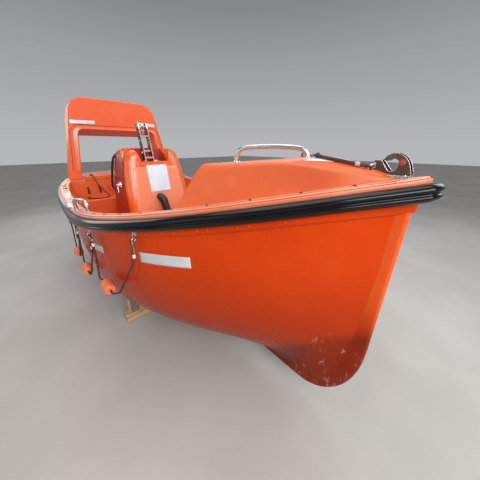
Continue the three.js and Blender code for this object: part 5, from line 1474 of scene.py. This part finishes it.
def side_y(x, z):
    """Half breadth of the console's side at a station and height."""
    aft, half, side, fore, front = console_at(z)
    return lerp(half, side, (x - aft) / max(fore - 55 - aft, 1))


# joint of the upper and lower side panels, and the rivets along the shroud's edge and the aft edge
JOINT_Z = 1372
RIVET_HEAD = [(0, 2.4), (3, 2.0), (4.6, 0.8), (5, 0), (5, -2)]
for side_name, s in SIDES:
    joint = [(x, s * (side_y(x, JOINT_Z) + 0.4), JOINT_Z - (x - 1360) * 0.04)
             for x in np.linspace(1362, shell_line(JOINT_Z) - 2, 12)]
    make(f"console_joint_{side_name}", bent_tube(joint, 2.6, 8, None), "sealant", "gelcoat_orange")
    rivets = []
    for z in np.arange(660, 1520, 72):
        for x in (shell_line(z) - 22, console_at(z)[0] + 52):
            rivets.append(turned(RIVET_HEAD, (x, s * side_y(x, z), z), (0, s, 0), 10))
    make(f"console_rivets_{side_name}", join(*rivets), "rivet", "stainless")

front_lean = math.atan2(1855 - 1800, 1430 - 1105)


def front_point(across, up, out):
    """Point of the console's front face: to port, up its slope and out of it."""
    z = 1268 + up * math.cos(front_lean) + out * math.sin(front_lean)
    fore = console_at(z)[3] + 5
    return (fore + out * math.cos(front_lean), across, z)


def shroud_front(t, z, out):
    """Point of the shroud's front at a share t of its half breadth, set out from the moulding."""
    line = console_outline(z, out)[-20:]
    ys = [y for _, y in line][::-1]
    xs = [x for x, _ in line][::-1]
    y = (console_at(z)[4] + 8) * abs(t)
    return (float(np.interp(y, ys, xs)), math.copysign(y, t), z)


# raised panel across the whole front of the shroud
PANEL_LOW, PANEL_HIGH = 712, 1402
rows = []
for v in (0, 0.004, 0.012, *np.linspace(0.04, 0.96, 16), 0.988, 0.996, 1):
    edge_v = min(min(v, 1 - v) / 0.012, 1)
    row_points = []
    for u in (-1, -0.992, -0.978, *np.linspace(-0.95, 0.95, 27), 0.978, 0.992, 1):
        edge_u = min((1 - abs(u)) / 0.022, 1)
        row_points.append(shroud_front(u, lerp(PANEL_LOW, PANEL_HIGH, v), 5.1 + 4.4 * min(edge_u, edge_v)))
    rows.append(row_points)
make("console_front_panel", sheet_of(rows), "gelcoat_front", "gelcoat_orange", sharp=30)

# instruction sheet, left blank, a little buckled on its four screws
rows = []
for v in np.linspace(-170, 155, 22):
    row_points = []
    for u in np.linspace(-125, 125, 18):
        curl = 2.2 * math.sin(u / 42 + v / 90) * math.sin(v / 60 + 1) * 0.5 + 5.5 + 1.4 * (abs(u) / 125) ** 4
        row_points.append(front_point(u, v, curl))
    rows.append(row_points)
thicken(make("blank_sheet", sheet_of(rows), "plate_white", stands_for="instruction_plate"), 1.6)
screws = [turned([(0, 2), (3.4, 1.6), (4.6, 0.4), (4.6, -2)], front_point(u, v, 7.6),
                 (math.cos(front_lean), 0, math.sin(front_lean)), 12) for u in (-114, 114)
          for v in (-158, 143)]
make("sheet_screws", join(*screws), "stainless")

# ribbed air duct
duct_path = smooth_path([(1806, -30, 1042), (1904, -30, 1036), (1956, -26, 1004),
                         (1978, -20, 940), (1984, -14, 870), (1986, -10, 640), (1986, -10, 612)], 2.5)
make("ribbed_duct", bent_tube(duct_path, lambda t: 44.8 + 2.6 * math.sin(t * 2 * math.pi * 44), 28, None),
     "black_plastic", stands_for="air_duct", sharp=70)
make("duct_collar", turned([(46, -14), (56, -14), (58, -10), (58, 2), (54, 6), (48, 6)], (1852, -30, 1039),
                           (1, 0, -0.05), 32),
     "black_plastic")

# door at the back of the console
door = rounded(((-140, 90, 18), (140, 90, 18), (140, 505, 18), (-140, 505, 18)))
door_inner = rounded(((-100, 130, 24), (100, 130, 24), (100, 465, 24), (-100, 465, 24)))
make("console_door_panel", on_frame(join(slab(door, 1.2, 13.5, upright),
                                         slab(door_inner, 12, 19.5, upright)), dash),
     "gelcoat_console", "gelcoat_orange", body="console_door", stands_for="console_door", ease=4)
make("console_door_catch",
     on_frame(join(rod((12, 86, 300), (33, 86, 300), 10), rod((28, 86, 266), (28, 86, 334), 6)), dash),
     "stainless", body="console_door")
for k, up in enumerate((150, 445)):
    make(f"console_door_hinge_{k}",
         on_frame(rod((16, -139, up - 26), (16, -139, up + 26), 5), dash), "stainless", body="console_door")

# lifting frame

LIFT_X, LIFT_FOOT_Z, LIFT_LEAN, LIFT_Y = 1590, 1458, -0.19, 50


def lift_x(z):
    return LIFT_X + (z - LIFT_FOOT_Z) * LIFT_LEAN


eased("lift_frame", "stainless_plate", 1.8)
PIN_Z = 1866
eased("lift_hook", "stainless", 3)
caps = []
for z, r in ((PIN_Z, 20), (1700, 15), (1560, 15)):
    for s in (-1, 1):
        caps.append(turned([(0, 9), (r * 0.55, 9), (r * 0.6, 8), (r * 0.62, 3), (r, 2.6), (r, -1)],
                           (lift_x(z), s * (LIFT_Y + 6), z), (0, s, 0), 6))
make("lift_frame_nuts", join(*caps), "stainless")
make("lift_warning_disc",
     turned([(0, 1.6), (17, 1.4), (18, -1)], (lift_x(1806), -(LIFT_Y + 6), 1806),
            (0, -1, 0), 24), "paint_red")
sill = [block((RECESS_X0 + 24, -96, 1456), (1700, -62, 1470)),
        block((RECESS_X0 + 24, 62, 1456), (1700, 96, 1470))]
make("lift_frame_seat", join(*sill), "stainless", ease=2)
make("release_handle",
     join(rod((1592, 0, 1580), (1690, 0, 1704), 7), rod((1592, -43, 1578), (1592, 43, 1578), 12)),
     "stainless", "paint_red", stands_for="release_lever")
make("release_knob", ball((1697, 0, 1713), 17.5, 24), "paint_red")

# helm

WHEEL_R, WHEEL_RIM, WHEEL_Y, WHEEL_UP, WHEEL_OUT = 170, 13, -80, 707, 122
wheel_centre = dash(WHEEL_OUT, -WHEEL_Y, WHEEL_UP)
wheel_face = face_frame(wheel_centre, console_lean)
ring_points = [wheel_face(0, WHEEL_R * math.cos(t), WHEEL_R * math.sin(t))
               for t in np.linspace(0, 2 * math.pi, 96, False)]
parts = [bent_tube(ring_points,
                   lambda t: WHEEL_RIM - 0.6 + 0.9 * max(0,
                                                         math.sin(t * math.pi * 32)) ** 2, 16, None, True)]
for a in (90, 210, 330):
    t = math.radians(a)
    parts.append(on_frame(rod((-8, 0, 0), (0, (WHEEL_R - 4) * math.cos(t), (WHEEL_R - 4) * math.sin(t)),
                              8.5, 14), wheel_face))
parts.append(on_frame(turned([(0, 22), (16, 21), (26, 16), (31, 6), (32, -4), (30, -17), (0, -17.6)],
                             (0, 0, 0), (1, 0, 0), 28),
                      wheel_face))
make("helm_wheel", join(*parts), "black_plastic", body="steering_wheel",
     stands_for="steering_wheel", sharp=45)
make("helm_hub", on_frame(turned([(44, -3), (44, 6), (38, 12), (33, 30), (28, 80), (26, WHEEL_OUT - 19)],
                                 (0, -WHEEL_Y, WHEEL_UP), (1, 0, 0), 28), dash), "black_plastic",
     stands_for="steering_hub")

CTRL_X, CTRL_Z, CTRL_OUT = 1570, 1190, 40
ctrl_y = -side_y(CTRL_X, CTRL_Z)


def control_arm(dx, dz, r0, r1):
    a = Vector((CTRL_X, ctrl_y - CTRL_OUT + 4, CTRL_Z))
    b = Vector((CTRL_X + dx, ctrl_y - CTRL_OUT, CTRL_Z + dz))
    n = (b - a).length
    return turned([(0, 0), (r0, 0), (lerp(r0, r1, 0.5) * 0.8, n * 0.3), (r1, n * 0.72),
                   (r1 * 1.12, n * 0.92), (r1 * 0.7, n), (0, n + 1)], a, b - a, 14)


make("side_control", join(
    turned([(36, -10), (36, 10), (33, 14), (20, 16), (18, 30), (18, CTRL_OUT + 6), (12, CTRL_OUT + 9),
            (0, CTRL_OUT + 9)],
           (CTRL_X, ctrl_y, CTRL_Z), (0, -1, 0), 28),
    control_arm(66, 152, 9, 8), control_arm(205, 8, 10, 9), control_arm(24, -100, 9, 8)), "stainless",
     stands_for="throttle_lever", sharp=45)
make("console_hand_hold",
     bent_tube([(1440, -308, 1560), (1424, -330, 1540), (1406, -360, 1506), (1388, -372, 1460),
                                     (1352, -386, 1370), (1310, -396, 1270), (1268, -402, 1165),
                (1262, -400, 1125),
                                     (1278, -390, 1095), (1310, -372, 1080)], 13, 16, 9),
     "black_plastic", stands_for="console_handhold", sharp=50)

# stern arch

ARCH_FRONT, ARCH_TOP, HEADER_Z, HEADER_AFT_Z, ARCH_HALF, OPEN_HALF = 552, 2274, 1863, 1772, 551, 529


def arch_aft(z):
    return lerp(345, 183, (z - 1160) / (ARCH_TOP - 1160))


def arch_outline(z0, corner_z, half_top, spread, reach, legs=16, turn=16, across=12):
    """Starboard foot, up, over and down to the port foot, as (y, z)."""
    def half(z):
        return half_top + (corner_z - z) * spread
    leg_top = corner_z - reach
    out = [(-half(z), z) for z in np.linspace(z0, leg_top, legs)]
    c = Vector((-half_top, corner_z))
    p, q = Vector((-half(leg_top), leg_top)), Vector((-half_top + reach, corner_z))
    out += [tuple(p * (1 - t) ** 2 + c * (2 * t * (1 - t)) + q * t * t)
            for t in np.linspace(0, 1, turn)[1:-1]]
    out += [(y, corner_z) for y in np.linspace(-half_top + reach, 0, across // 2)]
    return out + [(-y, z) for y, z in reversed(out[:-1])]


def arch_ring():
    outer = arch_outline(rim_top(450) + 2, ARCH_TOP, ARCH_HALF, 0.207, 190)
    inner_front = arch_outline(rim_top(552) + 2, HEADER_Z + 0.5, OPEN_HALF, 0.143, 70)
    inner_aft = arch_outline(rim_top(250) + 2, HEADER_AFT_Z + 14, OPEN_HALF + 11, 0.143, 70)
    rows = []
    n = len(outer)
    for k in range(n):
        (oy, oz), (fy, fz), (ay, az) = outer[k], inner_front[k], inner_aft[k]
        foot = k in (0, n - 1)

        def stand(x, y, z):
            return (x, y, rim_top(x) + 0.5 if foot else z)

        aft_x = arch_aft(oz)
        aft_in = arch_aft(az)
        crown = 4 * math.sin(math.pi * min(max((oz - 1700) / 560, 0), 1))
        rows.append([stand(ARCH_FRONT, oy, oz),
                     stand(ARCH_FRONT + crown * 0.8, lerp(oy, fy, 0.33), lerp(oz, fz, 0.33)),
                     stand(ARCH_FRONT + crown, lerp(oy, fy, 0.66), lerp(oz, fz, 0.66)),
                     stand(ARCH_FRONT, fy, fz),
                     stand(lerp(ARCH_FRONT, aft_in, 0.5), lerp(fy, ay, 0.5), lerp(fz, az, 0.5)),
                     stand(aft_in, ay, az),
                     stand(lerp(aft_x, aft_in, 0.5), lerp(oy, ay, 0.5), lerp(oz, az, 0.5)),
                     stand(aft_x, oy, oz), stand(lerp(ARCH_FRONT, aft_x, 0.5), oy, oz)])
    return sheet_of(rows, around=True, ends=True)


make("arch_moulding", arch_ring(), "gelcoat_arch", "gelcoat_orange", stands_for="arch", sharp=36,
     ease=15, segments=5)

# raised lip round the opening
lip_in = arch_outline(1300, HEADER_Z + 1, OPEN_HALF, 0.143, 70)
lip_out = arch_outline(1300, HEADER_Z + 36, OPEN_HALF + 57, 0.143, 112)
groove = arch_outline(1300, HEADER_Z + 58, OPEN_HALF + 88, 0.143, 140)
rows = []
for (y0, z0), (y1, z1) in zip(lip_in, lip_out):
    rows.append([(x, lerp(y0, y1, t), lerp(z0, z1, t)) for x, t in (
        (552, 0), (560.5, 0), (563.5, 0.1), (564, 0.24), (561, 0.42), (559, 0.62), (560, 0.84),
        (558, 0.95), (552, 1), (551, 1))])
# painted shade: a dark bead stands for the shadowed groove outside the lip
make("arch_groove", bent_tube([(ARCH_FRONT + 1.5, y, z) for y, z in groove], 3.2, 8, 10),
     "sealant", "gelcoat_orange")
make("arch_lip", sheet_of(rows, around=True, ends=True), "gelcoat_lip", "gelcoat_orange", sharp=40)

# reflective tapes over the opening: name, then y and z of the starboard and port end
ARCH_TAPES = (("tape_arch_starboard", -604, 1952, -303, 1956), ("tape_arch_port", 262, 1972, 575, 1962))
for name, y0, z0, y1, z1 in ARCH_TAPES:
    rows = []
    for t in np.linspace(0, 1, 20):
        y, z = lerp(y0, y1, t), lerp(z0, z1, t)
        edge = 24.5 + 0.7 * math.sin(t * 17 + y0)
        rows.append([(ARCH_FRONT + 4 + 3.2 * (1 - (2 * t - 1) ** 2), y, z + v * edge)
                     for v in np.linspace(-1, 1, 6)])
    thicken(make(name, sheet_of(rows), "tape", "plate_white"), 0.8)

# stern fittings

COVER_Y, COVER_Z, COVER_R = -231, 1060, 95
make("bulkhead_cover",
     turned([(COVER_R, 0.4), (COVER_R, 9), (COVER_R - 4, 14), (COVER_R - 13, 15.5), (COVER_R - 19, 12),
                               (COVER_R - 23, 11), (COVER_R - 26, 18), (COVER_R - 31, 21.5),
             (40, 22), (0, 22)],
                              (COCKPIT_AFT, COVER_Y, COVER_Z), (1, 0, 0), 48),
     "gelcoat_deck", "gelcoat_orange", stands_for="stern_hatch_cover", sharp=30)
make("bulkhead_cover_bolts",
     join(*(crown_bolt(COCKPIT_AFT + 14, COVER_Y + 88 * math.cos(t), COVER_Z + 88 * math.sin(t), 4,
                                               (1, 0, 0)) for t in np.linspace(0, 2 * math.pi, 8,
                                                                               False))), "stainless")
for name, y in (("strap_outer", -590), ("strap_inner", -440)):
    side = [(COCKPIT_AFT + 1, 1062), (COCKPIT_AFT + 12, 1054), (COCKPIT_AFT + 20, 1036),
            (COCKPIT_AFT + 21.5, 1005), (COCKPIT_AFT + 20, 976), (COCKPIT_AFT + 12, 958),
            (COCKPIT_AFT + 1, 950)]
    smooth = smooth_path([(x, 0, z) for x, z in side], 4)
    strap = make(name + "_webbing",
                 sheet_of([[(p.x, y + w, p.z) for w in (-12, -6, 0, 6, 12)] for p in smooth]),
                 "black_plastic", stands_for=name)
    thicken(strap, 2.6, 1)
    make(name + "_tabs", join(*(block((COCKPIT_AFT + 0.5, y - 15, z - 9), (COCKPIT_AFT + 5, y + 15, z + 9))
                                for z in (1060, 952))), "stainless", "black_plastic", ease=1.2)

for side_name, s in SIDES:
    def on_handle(x, dz):
        inset = lerp(72, 104, (x - 2190) / 290)
        return (x, s * (half_at(0, x) - inset), rim_top(x) + dz)

    a, f, r = 2190, 2480, 92
    path = [on_handle(a, -4), on_handle(a + 1, r * 0.6), on_handle(a + 16, r * 0.9), on_handle(a + 52, r),
            on_handle(f - 52, r), on_handle(f - 16, r * 0.9), on_handle(f - 1, r * 0.6), on_handle(f, -4)]
    parts = [bent_tube(path, 14, 20, 8)]
    for x in (a, f):
        foot = on_handle(x, 0)
        parts.append(turned([(14, 5), (21, 4.6), (24, 3), (24, -2)], foot, (0, 0, 1), 28))
        parts += [crown_bolt(foot[0] + 19 * math.cos(t), foot[1] + 19 * math.sin(t), foot[2] + 3.8, 2.8)
                  for t in (0.5, 2.6, 4.7)]
    make(f"grab_tube_{side_name}", join(*parts), "stainless",
         stands_for=f"grab_handle_{side_name}", sharp=40)
    z = rim_top(850)
    y = s * 874
    cleat = [rod((832, y, z - 2), (832, y, z + 42), 10), rod((868, y, z - 2), (868, y, z + 42), 10),
             turned([(0, -75), (6, -74), (9, -66), (10, -40), (10.5, 0), (10, 40), (9, 66),
                     (6, 74), (0, 75)],
                    (850, y, z + 43), (1, 0, 0), 18)]
    cleat += [crown_bolt(x, y + v, z + 8, 4) for x in (808, 892) for v in (-10, 10)]
    make(f"cleat_{side_name}", join(*cleat), "stainless", stands_for=f"cleat_aft_{side_name}", sharp=45)
    make(f"cleat_base_{side_name}",
         slab(rounded(((800, y - 20, 8), (900, y - 20, 8), (900, y + 20, 8), (800, y + 20, 8))),
                                         z - 1, z + 8, level_plate), "stainless", ease=1.5)
    for k, corners in enumerate((((1035, 92), (1400, 70), (1415, 118), (1052, 140)),
                                 ((1690, 46), (1950, 30), (1985, 76), (1725, 92)))):
        lying_patch(f"patch_rim_{k}_{side_name}", [(x, s * (half_at(0, x) - inset)) for x, inset in corners],
                    lambda px, py: rim_top(px) + 0.8)


def topside_y(x, z):
    """Half breadth of the topside at a station and height."""
    section = half_section(x, half_at(TOPSIDE_INSET, x))
    zs = [p[1] for p in section][::-1]
    ys = [p[0] for p in section][::-1]
    return float(np.interp(z, zs, ys))


# reflective patches on the topside: x and z of the aft and the fore end, then the height
TOPSIDE_PATCHES = ((3141, 956, 3496, 997, 76), (2400, 844, 2675, 879, 60))
for side_name, s in SIDES:
    for k, (x0, z0, x1, z1, high) in enumerate(TOPSIDE_PATCHES):
        rows = []
        for t in np.linspace(0, 1, 24):
            x = lerp(x0, x1, t)
            rows.append([(x, s * (topside_y(x, lerp(z0, z1, t) + v) + 1.0), lerp(z0, z1, t) + v)
                         for v in np.linspace(-high / 2, high / 2, 7)])
        thicken(make(f"patch_topside_{k}_{side_name}", sheet_of(rows), "tape", "plate_white"), 0.9)

# engine and drive

eased("engine_block", "engine_grey", 7)
eased("propeller_shaft", "stainless", 0.8, "propeller")
eased("propeller", "bronze", 1.2, "propeller", sharp=50)
eased("steering_nozzle", "engine_grey", 2.4, "steering_nozzle", sharp=40)
parts = []
for k in range(3):
    parts.append(rod((1260 + 76 * k, -97, 560), (1260 + 76 * k, -112, 560), 20, 24))
    parts.append(rod((1280 + 60 * k, 0, 698), (1280 + 60 * k, 0, 716), 15, 20))
parts.append(rod((1180, 0, 520), (1211, 0, 520), 62, 32, 4))
make("engine_caps", join(*parts), "engine_dark", "engine_grey")

# cradle

rough = bpy.data.textures.new("sawn", "CLOUDS")
rough.noise_scale = 0.05


def sawn(node, ease=3.5, cuts=3):
    """Timber with worn edges, very slightly out of true."""
    thing = eased(node, "timber", ease, segments=2)
    even = thing.modifiers.new("grain steps", "SUBSURF")
    even.subdivision_type, even.levels, even.render_levels = "SIMPLE", cuts, cuts
    uneven = thing.modifiers.new("out of true", "DISPLACE")
    uneven.texture, uneven.strength, uneven.mid_level = rough, 0.0012, 0.85
    uneven.texture_coords = "LOCAL"
    return thing


for node in record_slots:
    if record_slots[node] == "timber":
        sawn(node)
nails = []
for x in (2303, 2357):
    for z in (-30, 40, 100):
        nails.append(turned([(0, 1.2), (4.2, 0.9), (4.6, 0), (4.6, -2)], (x, -731, z), (0, -1, 0), 12))
for x in (2330, 1050):
    for y in (-560, 560, -50, 50):
        for dx in (-30, 30):
            nails.append(turned([(0, 1.2), (4.2, 0.9), (4.6, 0), (4.6, -2)],
                                (x + dx, y, -49.6), (0, 0, 1), 12))
make("cradle_nails", join(*nails), "rivet", "stainless")

# anything still in its plain solid

for entry in frame["record"]["subparts"]:
    node = frame["nodes"][entry["node"]]
    if not node.hide_render:
        print("plain solid kept:", entry["node"])
        node.data.materials.clear()
        node.data.materials.append(looks[entry["material_slot"]])
